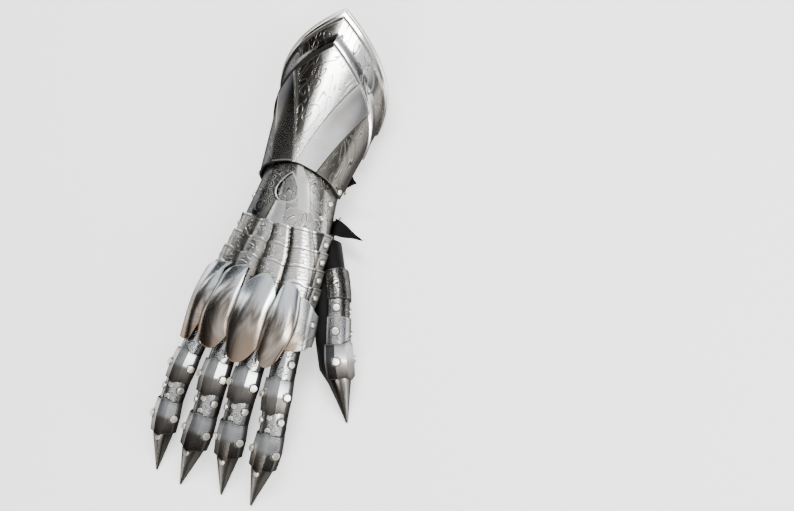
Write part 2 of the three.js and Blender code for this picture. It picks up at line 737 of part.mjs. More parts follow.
function thumbRing({ at, girth, pad }, grow) {
  return steps(0, 360, 12).slice(0, 12).map((d) => {
    const palm = Math.max(0, -Math.cos(d * degree) - 0.5) / 0.5;
    const point = roundPath(thumbFrame, d * degree, at, thumbLeather * girth * (1 + (pad - 1) * palm) + grow);
    point.z = Math.max(point.z, -grow);
    return point;
  });
}

function thumbSolid(grow) {
  return loft(thumbRings.map((ring) => thumbRing(ring, grow)));
}

const thumbHollow = loft([{ ...thumbRings[0], at: -0.04 }, ...thumbRings.slice(1, 6), { at: 0.74, girth: 0.7, pad: 1.8 }]
  .map((ring) => thumbRing(ring, -leather)));
const thumbClaw = claw(thumbFrame, thumbStations.claw, thumbPlate).subtract(thumbSolid(fingerSeat));
place('thumb_claw', thumbClaw, metal);

// Plates on the hand

place('wrist_lame', wristLame(), metal);
place('wrist_plate', wristPlate(), metal);
[0, 1, 2, 3].forEach((i) => place(`lame_${i + 1}`, lame(i), metal));
place('knuckle_plate', knucklePlate(), polished);
place('cuff', cuff(), metal);

// The leather hand and sleeve, flat underneath where they lie: the palm on the table and the sleeve on its straps

const soleDepth = 1.5;          // how far the round underside would reach below the table before it is flattened
const strapBed = strapThick + seat;
const palmEnd = { hand: -0.44 * handLength, wrist: -0.32 * handLength };

// The height of the leather's underside at y.
function underside(y) {
  const t = clamp((y - palmEnd.hand) / (palmEnd.wrist - palmEnd.hand), 0, 1);
  return strapBed * t * t * (3 - 2 * t);
}

// A point of the glove's skin all round, `grow` outside its outer face.
function gloveSkin(turn, y, grow) {
  const s = handSection(y);
  const over = Math.cos(turn) >= 0;
  const power = 2 / (over ? s.square : 3.2);
  const reach = over ? s.top - s.waist + grow : s.waist + soleDepth + grow;
  const z = s.waist + reach * powered(Math.cos(turn), power);
  const lowest = Math.max(underside(y) - grow, 0);
  return new THREE.Vector3(s.centre + (s.half + grow) * powered(Math.sin(turn), power), y, Math.max(z, lowest));
}

function gloveRing(y, grow, sides) {
  return steps(0, 360, sides).slice(0, sides).map((d) => gloveSkin(d * degree, y, grow));
}

const handRear = -0.035 * handLength;
const handFront = -rootAlong * handLength;
const handSides = 18;
const gloveYs = [
  handRear,
  -0.18 * handLength,
  palmEnd.wrist,
  palmEnd.hand,
  ...steps(-0.58 * handLength, handFront, 2),
];
const gloveOuter = loft(gloveYs.map((y) => gloveRing(y, 0, handSides)));
const gloveInner = loft([handRear + 2, ...gloveYs.slice(1, 6), handFront + leather]
  .map((y) => gloveRing(y, -leather, handSides)));
let gloveHand = gloveOuter.subtract(gloveInner).subtract(thumbHollow);
for (const tube of fingerTubes) gloveHand = gloveHand.subtract(tube.inner);
place('glove_hand', gloveHand, hide);
const handGrown = loft([handRear + 5, ...gloveYs.slice(1)].map((y) => gloveRing(y, seat, handSides)));
place('glove_thumb', thumbSolid(0).subtract(thumbHollow).subtract(handGrown), hide);

const sleeveRear = cuffFront + 0.52 * cuffLength;
const sleeveYs = steps(handRear + seat, sleeveRear, 4);
const sleeveOuter = loft(sleeveYs.map((y) => gloveRing(y, 0, handSides)));
const sleeveInner = loft([sleeveYs[0] - 2, ...sleeveYs.slice(1, 4), sleeveRear + 2]
  .map((y) => gloveRing(y, -leather, handSides)));
place('glove_sleeve', sleeveOuter.subtract(sleeveInner), hide);

// Straps under the wrist and the forearm, each with a buckle at the thumb's side

// Turns follow the glove's own facets, from the little finger's side round below to the thumb's side.
const strapTurns = [240, 220, 200, 180, 160, 140, 120, 100];
const strapRows = {
  wrist: { y: -0.125 * handLength, tongue: wristTongue, rise: 0.30, sweep: -0.25, bend: 1.5 },
  forearm: { y: cuffFront + 0.075 * cuffLength, tongue: forearmTongue, rise: 0.02, sweep: -0.05, bend: 0.4 },
};

// A band of leather along a list of points; `halves` holds half its width at each of them.
function band(points, halves) {
  const surface = (u, v) => {
    const k = clamp(Math.floor(v), 0, points.length - 2);
    const t = v - k;
    const point = points[k].clone().lerp(points[k + 1], t);
    point.y += u * mix(halves[k], halves[k + 1], t);
    return point;
  };
  return plate(surface, [-1, 0, 1], steps(0, points.length - 1, points.length - 1), strapThick);
}

// A block between two opposite faces, along three directions from its centre.
function block(centre, along, side, out, length, width, height) {
  const rings = [-0.5, 0.5].map((end) => [[-1, -1], [1, -1], [1, 1], [-1, 1]].map(([a, b]) => centre.clone()
    .addScaledVector(out, end * height)
    .addScaledVector(along, (a * length) / 2)
    .addScaledVector(side, (b * width) / 2)));
  return loft(rings);
}

for (const [name, { y, tongue, rise, sweep, bend }] of Object.entries(strapRows)) {
  const skin = strapSlack + strapThick;
  const around = strapTurns.map((d) => gloveSkin(d * degree, y, skin));
  const [low, high] = around.slice(-2);
  const away = new THREE.Vector3(1, sweep, rise).normalize();
  const free = [0.12, 0.5, 0.8, 1].map((t) => high.clone().addScaledVector(away, tongue * t));
  free[0].z += bend;
  const half = strapWidth / 2;
  const halves = [...around.map(() => half), half, half * 0.78, half * 0.34, half * 0.06];
  place(`strap_${name}`, band([...around, ...free], halves), hide);
  const along = high.clone().sub(low).normalize();
  const side = new THREE.Vector3(0, 1, 0);
  const out = new THREE.Vector3(along.z, 0, -along.x);
  const middle = low.clone().lerp(high, 0.28);
  const centre = middle.clone().addScaledVector(out, seat + buckleBar / 2);
  const wide = strapWidth + 7;
  const outer = block(centre, along, side, out, buckleReach, wide, buckleBar);
  const gap = block(centre, along, side, out, buckleReach - 2 * buckleBar, wide - 2 * buckleBar, 3 * buckleBar);
  place(`buckle_${name}`, outer.subtract(gap), buckleSteel);
  const prongAt = centre.clone().addScaledVector(out, (buckleBar + prongThick) / 2 + 0.3);
  place(`prong_${name}`, block(prongAt, along, side, out, buckleReach, prongThick, prongThick), buckleSteel);
}

// The whole stands on the table with its origin under the middle of its box.
group.updateMatrixWorld(true);
const bounds = new THREE.Box3().setFromObject(group, true);
group.position.set(-(bounds.min.x + bounds.max.x) / 2, -(bounds.min.y + bounds.max.y) / 2, -bounds.min.z);

export default group;
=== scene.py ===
# A right-hand plate gauntlet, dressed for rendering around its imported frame.
# Shapes are worked out in millimetres in the hand's own frame, +X thumb, +Y cuff, +Z up, with y = 0 at
# the wrist fold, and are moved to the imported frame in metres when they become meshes.
import math

import bmesh
import bpy
import numpy as np
from mathutils import Matrix, Vector


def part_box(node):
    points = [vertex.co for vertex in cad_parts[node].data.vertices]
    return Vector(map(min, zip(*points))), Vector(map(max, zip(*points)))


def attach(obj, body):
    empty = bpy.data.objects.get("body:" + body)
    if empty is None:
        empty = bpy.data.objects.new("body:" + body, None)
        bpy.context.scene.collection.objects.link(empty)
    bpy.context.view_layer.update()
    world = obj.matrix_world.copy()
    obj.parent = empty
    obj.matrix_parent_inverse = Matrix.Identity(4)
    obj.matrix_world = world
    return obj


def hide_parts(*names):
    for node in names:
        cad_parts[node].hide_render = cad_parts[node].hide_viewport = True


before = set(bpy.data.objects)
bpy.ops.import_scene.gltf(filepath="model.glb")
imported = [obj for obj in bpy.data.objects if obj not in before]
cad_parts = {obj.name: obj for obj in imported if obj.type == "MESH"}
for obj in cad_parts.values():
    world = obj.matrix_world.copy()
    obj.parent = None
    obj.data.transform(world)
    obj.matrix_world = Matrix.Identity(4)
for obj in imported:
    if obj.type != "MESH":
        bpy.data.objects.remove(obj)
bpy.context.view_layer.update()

# Main sizes, in millimetres
HAND_LENGTH = 140.0
HAND_WIDTH = 108.0
HAND_HEIGHT = 50.0
CUFF_LENGTH = 146.0
CUFF_FRONT = 15.0
CUFF_FRONT_HALF = 38.4
CUFF_REAR_HALF = 59.0
CUFF_FRONT_TOP = 62.5
CUFF_REAR_TOP = 64.0
CUFF_EDGE_HEIGHT = 20.0
CUFF_CENTRE = 6.0
CUFF_SIDE_DROP = 80.0
BAND_RISE = 1.6
RIM_RISE = 1.8
RIM_ROLL = 2.1
STEEL = 1.2
CUFF_WALL = 1.5
LEATHER = 1.6
SEAT = 0.5
TUCK = 5.0
FINGER_LEATHER = 8.6
FINGER_STEEL = 1.0
FINGER_SEAT = 0.4
FINGER_TURN = 98
FINGER_LENGTH = 141.0
CAP_RIDGE = 1.0
CAP_PEAK = 0.02
CLAW_TIP = 0.9
THUMB_LEATHER = 8.8
STRAP_WIDTH = 15.0
STRAP_THICK = 2.2
STRAP_SLACK = 1.0
BUCKLE_BAR = 2.4
BUCKLE_REACH = 11.0
PRONG = 1.8
SIDE_RIVET = (2.6, 1.8)
FINGER_RIVET = (3.1, 1.5)
DISC_RIVET = (2.3, 0.9)
DEG = math.pi / 180

# Sections of the leather over the hand: along, centre, half width, top, exponent, in shares
SECTIONS = np.array([
    [-0.80, 0.055, 0.370, 1.10, 2.0],
    [-0.18, 0.055, 0.290, 1.12, 2.0],
    [-0.07, 0.055, 0.292, 1.10, 2.0],
    [0.07, 0.057, 0.312, 1.03, 2.1],
    [0.22, 0.058, 0.336, 0.98, 2.2],
    [0.40, 0.054, 0.368, 0.95, 2.3],
    [0.57, 0.048, 0.408, 0.93, 2.4],
    [0.75, 0.044, 0.438, 0.93, 2.4],
    [0.90, 0.050, 0.452, 0.90, 2.4],
    [1.12, 0.052, 0.456, 0.80, 2.3],
])
WAIST = 0.45 * HAND_HEIGHT

# Ridges of the flutes from the little finger to the forefinger, shares of the width
FLUTE_ALONG = [0.25, 0.43, 0.62, 0.80]
FLUTE_RIDGES = [
    [-0.16, -0.24, -0.28, -0.31],
    [0.00, -0.04, -0.08, -0.11],
    [0.11, 0.12, 0.12, 0.11],
    [0.24, 0.32, 0.34, 0.34],
]
FLUTE_RISE = 2.8

# Lines of the knuckle plate: across, along, rise
KNUCKLE_LINES = [
    ([-1.16, -1.16, -1.14, -1.10], [0.67, 0.78, 0.92, 1.01], 0.0),
    ([-0.96, -0.94, -0.93, -0.93], [0.62, 0.76, 0.92, 1.05], 0.35),
    ([-0.38, -0.66, -0.74, -0.71], [0.565, 0.72, 0.90, 1.07], 1.0),
    ([-0.50, -0.54, -0.62, -0.63], [0.645, 0.76, 0.87, 0.955], 0.0),
    ([-0.10, -0.32, -0.38, -0.33], [0.560, 0.73, 0.92, 1.085], 1.0),
    ([-0.13, -0.14, -0.16, -0.13], [0.705, 0.79, 0.90, 0.985], 0.0),
    ([0.17, 0.10, 0.05, 0.05], [0.582, 0.76, 0.94, 1.12], 1.0),
    ([0.37, 0.33, 0.31, 0.31], [0.700, 0.79, 0.90, 0.995], 0.0),
    ([0.48, 0.56, 0.53, 0.46], [0.583, 0.76, 0.94, 1.10], 1.0),
    ([0.72, 0.76, 0.74, 0.68], [0.640, 0.76, 0.88, 0.965], 0.1),
    ([0.95, 0.95, 0.95, 0.94], [0.690, 0.77, 0.85, 0.925], 0.0),
    ([1.07, 1.07, 1.06, 1.04], [0.705, 0.77, 0.84, 0.895], 0.0),
]
KNUCKLE_RISE = 5.0
KNUCKLE_LIFT = [10.2, 8.0, 8.6]

# Fingers: side at four places, height at the same places, length share, girth
FINGERS = {
    "index": ([0.400, 0.440, 0.478, 0.440], [0.66, 0.60, 0.44, 0.028], 0.950, 1.0),
    "middle": ([0.175, 0.170, 0.175, 0.185], [0.68, 0.62, 0.46, 0.028], 0.945, 1.0),
    "ring": ([-0.075, -0.086, -0.090, -0.160], [0.66, 0.60, 0.44, 0.028], 0.965, 1.0),
    "pinky": ([-0.322, -0.378, -0.403, -0.388], [0.55, 0.50, 0.37, 0.028], 0.928, 0.9),
}
BONE_SHARES = [0, 0.31, 0.61, 1]
ROOT_ALONG = 0.915
PLATE_1 = (0.035, 0.262)
CAP_A = (0.222, 0.420)
PLATE_2 = (0.375, 0.590)
CAP_B = (0.548, 0.748)
CLAW = (0.705, 1.0)
LEATHER_END = 0.77

# The thumb
THUMB_SIDE = [0.41, 0.620, 0.775, 0.963]
THUMB_ALONG = [0.24, 0.53, 0.90, 1.245]
THUMB_HEIGHT = [0.24, 0.46, 0.42, 0.030]
THUMB_ROLL = 62 * DEG
THUMB_BASE = (0.19, 0.35)
THUMB_PLATE_1 = (0.32, 0.475)
THUMB_PLATE_2 = (0.44, 0.605)
THUMB_CAP = (0.575, 0.745)
THUMB_CLAW = (0.71, 1.0)
# Rings of the thumb's leather: place, girth, how far the pad goes down
THUMB_RINGS = [
    (0.00, 1.10, 1.7),
    (0.15, 1.02, 2.1),
    (0.31, 1.00, 2.625),
    (0.43, 1.00, 2.5),
    (0.55, 1.00, 2.375),
    (0.70, 0.98, 2.125),
    (0.78, 0.68, 1.9),
    (0.86, 0.42, 2.0),
    (0.93, 0.15, 2.0),
]


def clamp(value, low, high):
    return max(low, min(high, value))


def mix(a, b, t):
    return a + (b - a) * t


def smooth(t):
    t = clamp(t, 0, 1)
    return t * t * (3 - 2 * t)


def through(places, values, at):
    """A smooth curve through values at increasing places."""
    k = 0
    while k < len(places) - 2 and at > places[k + 1]:
        k += 1

    def slope(i):
        a, b = max(i - 1, 0), min(i + 1, len(places) - 1)
        return (values[b] - values[a]) / (places[b] - places[a])

    span = places[k + 1] - places[k]
    t = (at - places[k]) / span
    h0, h1 = 2 * t ** 3 - 3 * t ** 2 + 1, t ** 3 - 2 * t ** 2 + t
    h2, h3 = -2 * t ** 3 + 3 * t ** 2, t ** 3 - t ** 2
    return h0 * values[k] + h1 * span * slope(k) + h2 * values[k + 1] + h3 * span * slope(k + 1)


def powered(value, exponent):
    return math.copysign(abs(value) ** exponent, value)


def section(y):
    """Centre, half width, top and exponent of the leather at y."""
    along = -y / HAND_LENGTH
    places = list(SECTIONS[:, 0])
    centre, half, top, square = (through(places, list(SECTIONS[:, c]), along) for c in range(1, 5))
    return centre * HAND_WIDTH, half * HAND_WIDTH, top * HAND_HEIGHT, square


def over_hand(turn, y, lift):
    """A point over the back of the hand, lift above the leather."""
    centre, half, top, square = section(y)
    power = 2 / square
    x = centre + (half + lift) * powered(math.sin(turn), power)
    z = WAIST + (top - WAIST + lift) * powered(math.cos(turn), power)
    return Vector((x, y, z))


def turn_across(share, square=2.2):
    """The turn that reaches a share of the half width, with more turn past the side."""
    knee = 0.95
    knee_turn = math.asin(knee ** (square / 2))
    size = abs(share)
    if size <= knee:
        turn = math.asin(size ** (square / 2))
    else:
        turn = knee_turn + (size - knee) / (1.2 - knee) * (106 * DEG - knee_turn)
    return math.copysign(turn, share)


def flute_at(x, y):
    """How near x, y is to a flute's ridge, 1 on it and 0 in the valleys."""
    along = -y / HAND_LENGTH
    ridges = [HAND_WIDTH * through(FLUTE_ALONG, row, along) for row in FLUTE_RIDGES]
    best = 0
    for k, ridge in enumerate(ridges):
        other = k - 1 if x < ridge else k + 1
        reach = abs(ridges[other] - ridge) / 2 if 0 <= other < 4 else 0.1 * HAND_WIDTH
        away = abs(x - ridge) / reach
        if away < 1:
            best = max(best, (1 - away ** 2.4) ** 0.62)
    return best


def cuff_point(turn, y, lift):
    """A point on the cuff's outer side, lift above its sheet."""
    t = (y - CUFF_FRONT) / CUFF_LENGTH
    half = mix(CUFF_FRONT_HALF, CUFF_REAR_HALF, t)
    top = mix(CUFF_FRONT_TOP, CUFF_REAR_TOP, t)
    radius = (top - CUFF_EDGE_HEIGHT * (1 - t)) / (1 - math.cos(105 * DEG))
    x = CUFF_CENTRE + (half + lift) * math.sin(turn)
    return Vector((x, y, top - radius + (radius + lift) * math.cos(turn)))


# Meshes

hand_low, hand_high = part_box("glove_hand")
HAND_REAR = -0.035 * HAND_LENGTH
HAND_FRONT = -ROOT_ALONG * HAND_LENGTH
OFFSET = Vector((
    (hand_low.x + hand_high.x) * 500 - section(HAND_FRONT)[0],
    hand_high.y * 1000 - HAND_REAR,
    0,
))


def new_object(name, points, faces, uvs=None, attributes=None):
    """A mesh object from points in the hand's frame in millimetres."""
    mesh = bpy.data.meshes.new(name)
    mesh.from_pydata([(Vector(p) + OFFSET) / 1000 for p in points], [], faces)
    if uvs is not None:
        layer = mesh.uv_layers.new(name="UVMap")
        loops = np.zeros(len(mesh.loops), np.int32)
        mesh.loops.foreach_get("vertex_index", loops)
        layer.data.foreach_set("uv", np.asarray(uvs, np.float32)[loops].ravel())
    for key, values in (attributes or {}).items():
        layer = mesh.attributes.new(key, "FLOAT", "POINT")
        layer.data.foreach_set("value", np.asarray(values, np.float32))
    mesh.polygons.foreach_set("use_smooth", [True] * len(mesh.polygons))
    shape = bmesh.new()
    shape.from_mesh(mesh)
    bmesh.ops.recalc_face_normals(shape, faces=shape.faces)
    shape.to_mesh(mesh)
    shape.free()
    obj = bpy.data.objects.new(name, mesh)
    bpy.context.scene.collection.objects.link(obj)
    return obj


def add_bevel(obj, width, angle):
    """Rounds the edges that are sharper than the angle in degrees; the width is in millimetres."""
    edge = obj.modifiers.new("edges", "BEVEL")
    edge.width = width / 1000
    edge.segments = 2
    edge.limit_method = "ANGLE"
    edge.angle_limit = angle * DEG


def cut_away(obj, cutter):
    """Takes the cutter's space out of the object, with its other modifiers applied first."""
    cut = obj.modifiers.new("cut", "BOOLEAN")
    cut.operation = "DIFFERENCE"
    cut.solver = "EXACT"
    cut.object = cutter
    depsgraph = bpy.context.evaluated_depsgraph_get()
    baked = bpy.data.meshes.new_from_object(obj.evaluated_get(depsgraph))
    obj.modifiers.clear()
    obj.data = baked
    bpy.data.objects.remove(cutter)


class Build:
    """Points, faces and values of a piece while it is put together."""

    def __init__(self):
        self.points, self.faces, self.uvs, self.slots, self.rivets = [], [], [], [], []
        self.values = {"engrave": [], "tone": [], "ink_and_shade": []}

    def add(self, points, faces, uvs=None, engrave=0.0, tone=0.5, ink_and_shade=0.0, slot=0):
        start, count = len(self.points), len(points)
        self.points += [Vector(p) for p in points]
        self.faces += [tuple(start + i for i in face) for face in faces]
        self.uvs += list(uvs) if uvs is not None else [(0.0, 0.0)] * count
        for key, value in (("engrave", engrave), ("tone", tone), ("ink_and_shade", ink_and_shade)):
            self.values[key] += list(value) if hasattr(value, "__len__") else [value] * count
        self.slots += [slot] * len(faces)

    def lines_and_rivet_shade(self):
        """The dark lines with the painted shade they hold, and painted shade in a ring round the rivets'
        feet: 1 is darkest.
        """
        points = np.array(self.points, float)
        level = np.array(self.values["ink_and_shade"], float)
        # Painted shade round each rivet's foot
        for place, radius, _, _ in self.rivets:
            away = np.linalg.norm(points - np.array(place, float), axis=1)
            level = np.maximum(level, np.clip((1.42 * radius - away) / (0.25 * radius), 0, 1))
        for _, _, first, last in self.rivets:
            level[first:last] = 0
        return level

    def finish(self, name, materials, sharp=38, bevel=0.0):
        values = dict(self.values, ink_and_shade=self.lines_and_rivet_shade())
        obj = new_object(name, self.points, self.faces, self.uvs, values)
        for material in materials:
            obj.data.materials.append(material)
        obj.data.polygons.foreach_set("material_index", self.slots)
        obj.data.set_sharp_from_angle(angle=sharp * DEG)
        if bevel:
            add_bevel(obj, bevel, 40)
        return obj


def grid_normals(grid):
    """Unit normals of a grid of points, shape rows by columns by 3."""
    du = np.gradient(grid, axis=1)
    dv = np.gradient(grid, axis=0)
    normals = np.cross(du, dv)
    normals /= np.linalg.norm(normals, axis=2, keepdims=True) + 1e-12
    centre = grid.reshape(-1, 3).mean(0)
    if (normals * (grid - centre)).sum() < 0:
        normals = -normals
    return normals


def shell(build, surface, us, vs, wall, engrave=None, tone=None, ink_and_shade=None):
    """A bent plate: surface(u, v) is its outer face; engrave, tone and the dark-line value are functions of
    u, v, and the dark lines hold painted shade as well as outlines.
    """
    grid = np.array([[surface(u, v) for u in us] for v in vs], float)
    rows, across = grid.shape[:2]
    normals = grid_normals(grid)
    inner = grid - normals * wall
    step_u = np.linalg.norm(np.diff(grid, axis=1), axis=2)
    step_v = np.linalg.norm(np.diff(grid, axis=0), axis=2)
    run_u = np.concatenate([np.zeros((rows, 1)), np.cumsum(step_u, axis=1)], axis=1)
    run_u -= run_u[:, across // 2:across // 2 + 1]
    run_v = np.concatenate([np.zeros((1, across)), np.cumsum(step_v, axis=0)], axis=0)
    uv = np.stack([run_u, run_v], axis=2).reshape(-1, 2)

    def sampled(value, plain):
        return np.array([[value(u, v) if value else plain for u in us] for v in vs]).ravel()

    cut, hue, dark_values = sampled(engrave, 0.0), sampled(tone, 0.5), sampled(ink_and_shade, 0.0)
    count = rows * across
    faces = []
    for j in range(rows - 1):
        for i in range(across - 1):
            a = j * across + i
            b, c, d = a + 1, a + 1 + across, a + across
            faces.append((a, b, c, d))
            faces.append((a + count, d + count, c + count, b + count))
    rim = list(range(across - 1))
    rim += [j * across + across - 1 for j in range(rows - 1)]
    rim += [(rows - 1) * across + i for i in range(across - 1, 0, -1)]
    rim += [j * across for j in range(rows - 1, 0, -1)]
    for k, a in enumerate(rim):
        b = rim[(k + 1) % len(rim)]
        faces.append((a, a + count, b + count, b))
    flip = np.cross(grid[0, 1] - grid[0, 0], grid[1, 0] - grid[0, 0]) @ normals[0, 0] < 0
    if flip:
        faces = [face[::-1] for face in faces]
    points = np.concatenate([grid.reshape(-1, 3), inner.reshape(-1, 3)])
    zeros = np.zeros(count)
    build.add(points, faces, np.concatenate([uv, uv]), np.concatenate([cut, zeros]),
              np.concatenate([hue, hue]), np.concatenate([dark_values, zeros]))


def ring_round(centre, first, second, radius, sides):
    """A circle of points in the plane of two unit vectors."""
    turns = [2 * math.pi * i / sides for i in range(sides)]
    return [centre + (first * math.cos(a) + second * math.sin(a)) * radius for a in turns]


def rings_mesh(rings, close_start=True, close_end=True):
    """Points and faces of a loft through rings of points."""
    sides = len(rings[0])
    points = [p for ring in rings for p in ring]
    faces = []
    for r in range(len(rings) - 1):
        for i in range(sides):
            n = (i + 1) % sides
            faces.append((r * sides + i, r * sides + n, (r + 1) * sides + n, (r + 1) * sides + i))
    if close_start:
        faces.append(tuple(range(sides))[::-1])
    if close_end:
        faces.append(tuple((len(rings) - 1) * sides + i for i in range(sides)))
    return points, faces


def frame_at(surface, u, v, inside):
    """A point of the surface and its normal, which points away from inside."""
    near = 0.01
    place = Vector(surface(u, v))
    du = Vector(surface(u + near, v)) - Vector(surface(u - near, v))
    dv = Vector(surface(u, v + near)) - Vector(surface(u, v - near))
    normal = du.cross(dv).normalized()
    if normal.dot(place - Vector(inside)) < 0:
        normal.negate()
    return place, normal


DISC_PROFILE = [(1.0, 0.62), (0.96, 0.84), (0.86, 0.97), (0.70, 1.0), (0.35, 1.03)]


def rivet(build, place, normal, size, slot=1, flat=False):
    """A rivet's head, a dome or a flat disc with a rounded edge."""
    radius, height = size
    side = normal.orthogonal().normalized()
    levels = [(1.0, -0.8), (1.0, 0.30 * height)]
    if flat:
        levels += [(share, rise * height) for share, rise in DISC_PROFILE]
    else:
        levels += [(math.cos(a) ** 0.7 * 0.97, 0.34 * height + math.sin(a) * height * 0.66)
                   for a in np.linspace(0.12, 1.45, 7)]
    rings = [ring_round(place + normal * level, side, normal.cross(side), radius * share, 28)
             for share, level in levels]
    first = len(build.points)
    build.add(*rings_mesh(rings, close_start=False), slot=slot)
    build.rivets.append((place, radius, first, len(build.points)))


def spaced(*stops):
    """Values through pairs of (stop, steps to the next stop)."""
    values = []
    for (a, n), (b, _) in zip(stops, stops[1:]):
        values += [a + (b - a) * i / n for i in range(n)]
    return values + [stops[-1][0]]


# Materials

class Graph:
    """The shader nodes of a material or of the world."""

    def __init__(self, tree):
        self.tree = tree

    def join(self, value, socket):
        """Gives the socket a value or another node's output."""
        if isinstance(value, bpy.types.NodeSocket):
            self.tree.links.new(value, socket)
        else:
            socket.default_value = value

    def put(self, kind, props=None, **inputs):
        """A node with its properties and inputs set; i0, i1 and so on are inputs by number."""
        node = self.tree.nodes.new("ShaderNode" + kind)
        for key, value in (props or {}).items():
            setattr(node, key, value)
        for key, value in inputs.items():
            index = int(key[1:]) if key[0] == "i" and key[1:].isdigit() else key.replace("_", " ")
            self.join(value, node.inputs[index])
        return node

    def maths(self, operation, a, b=0.0, clip=False):
        return self.put("Math", {"operation": operation, "use_clamp": clip}, i0=a, i1=b).outputs[0]

    def times(self, a, b):
        return self.maths("MULTIPLY", a, b)

    def plus(self, a, b):
        return self.maths("ADD", a, b)

    def minus(self, a, b):
        return self.maths("SUBTRACT", a, b)

    def apart(self, a, b):
        return self.maths("ABSOLUTE", self.minus(a, b))

    def vector(self, operation, *values, output=0):
        inputs = {f"i{k}": value for k, value in enumerate(values)}
        return self.put("VectorMath", {"operation": operation}, **inputs).outputs[output]

    def noise(self, vector, scale, detail, dimensions="3D", output="Fac", **inputs):
        return self.put("TexNoise", {"noise_dimensions": dimensions}, Vector=vector, Scale=scale,
                        Detail=detail, **inputs).outputs[output]

    def attribute(self, name):
        return self.put("Attribute", {"attribute_name": name}).outputs["Fac"]

    def ramp(self, value, low, high):
        """0 below low, 1 above high, smooth between."""
        props = {"interpolation_type": "SMOOTHSTEP"}
        return self.put("MapRange", props, Value=value, From_Min=low, From_Max=high).outputs["Result"]

    def blend(self, factor, a, b, kind="MIX"):
        """A mix of two colours."""
        return self.put("Mix", {"data_type": "RGBA", "blend_type": kind}, i0=factor, i6=a, i7=b).outputs[2]

    def colours(self, value, stops):
        """The colour at a value, from a list of (place, colour)."""
        node = self.put("ValToRGB", None, Fac=value)
        elements = node.color_ramp.elements
        while len(elements) < len(stops):
            elements.new(0.5)
        for element, (place, colour) in zip(elements, stops):
            element.position = place
            element.color = (*colour, 1)
        return node.outputs["Color"]

    def bump(self, height, strength, distance):
        return self.put("Bump", None, Height=height, Strength=strength, Distance=distance).outputs[0]


def new_material(name):
    """A material, its graph and its shader."""
    material = bpy.data.materials.new(name)
    material.use_nodes = True
    tree = material.node_tree
    shader = next(n for n in tree.nodes if n.type == "BSDF_PRINCIPLED")
    return material, Graph(tree), shader


def scroll_lines(graph, uv, size, width, stretch):
    """Engraved scrolls: curls on scattered centres and flowing lines between them, in millimetres."""
    slim = graph.vector("MULTIPLY", uv, (1.0, stretch, 1.0))
    wander = graph.noise(slim, 0.7 / size, 0.0, "2D", "Color")
    bent = graph.vector("MULTIPLY_ADD", wander, (size, size, 0.0), slim)
    cell = graph.put("TexVoronoi", {"voronoi_dimensions": "2D"}, Vector=bent, Scale=1 / size, Randomness=0.6)
    local = graph.vector("SUBTRACT", bent, cell.outputs["Position"])
    away = graph.vector("LENGTH", local, output="Value")
    part = graph.put("SeparateXYZ", None, Vector=local)
    spin = graph.maths("DIVIDE", graph.maths("ARCTAN2", part.outputs["Y"], part.outputs["X"]), 2 * math.pi)
    chance = graph.put("SeparateColor", None, Color=cell.outputs["Color"])
    hand = graph.maths("SIGN", graph.minus(chance.outputs[0], 0.5))
    pitch = 0.36 * size
    wave = graph.plus(graph.maths("DIVIDE", away, pitch), graph.times(spin, hand))
    wave = graph.maths("FRACT", graph.plus(wave, chance.outputs[1]))
    curl = graph.times(graph.apart(wave, 0.5), pitch)
    outside = graph.ramp(away, 0.40 * size, 0.48 * size)
    level = graph.times(graph.noise(bent, 0.9 / size, 0.3, "2D"), 6.0)
    tail = graph.times(graph.apart(graph.maths("FRACT", level), 0.5), 0.55 * size)
    gap = graph.put("Mix", None, i0=outside, i2=curl, i3=tail).outputs[0]
    line = graph.minus(1.0, graph.ramp(gap, 0.2 * width, 0.6 * width))
    # A band beside each line, for the painted highlight along the engraving
    light = graph.minus(1.0, graph.ramp(graph.apart(gap, 0.95 * width), 0.05 * width, 0.35 * width))
    half = graph.maths("FRACT", graph.times(level, 0.5))
    ground = graph.ramp(graph.apart(half, 0.5), 0.23, 0.27)
    return line, light, graph.times(ground, outside)


# Near black of the outlines and of painted shade
INK_AND_SHADE_COLOUR = (0.016, 0.015, 0.014, 1)
# Painted shade on the sides that face down and away from the thumb: its colour, and the lean where it is full
# and where it ends
PAINTED_SHADE_COLOUR = (0.035, 0.033, 0.031, 1)
SHADE_LEAN = 0.20
SHADE_FULL = 0.12
SHADE_NONE = 0.84


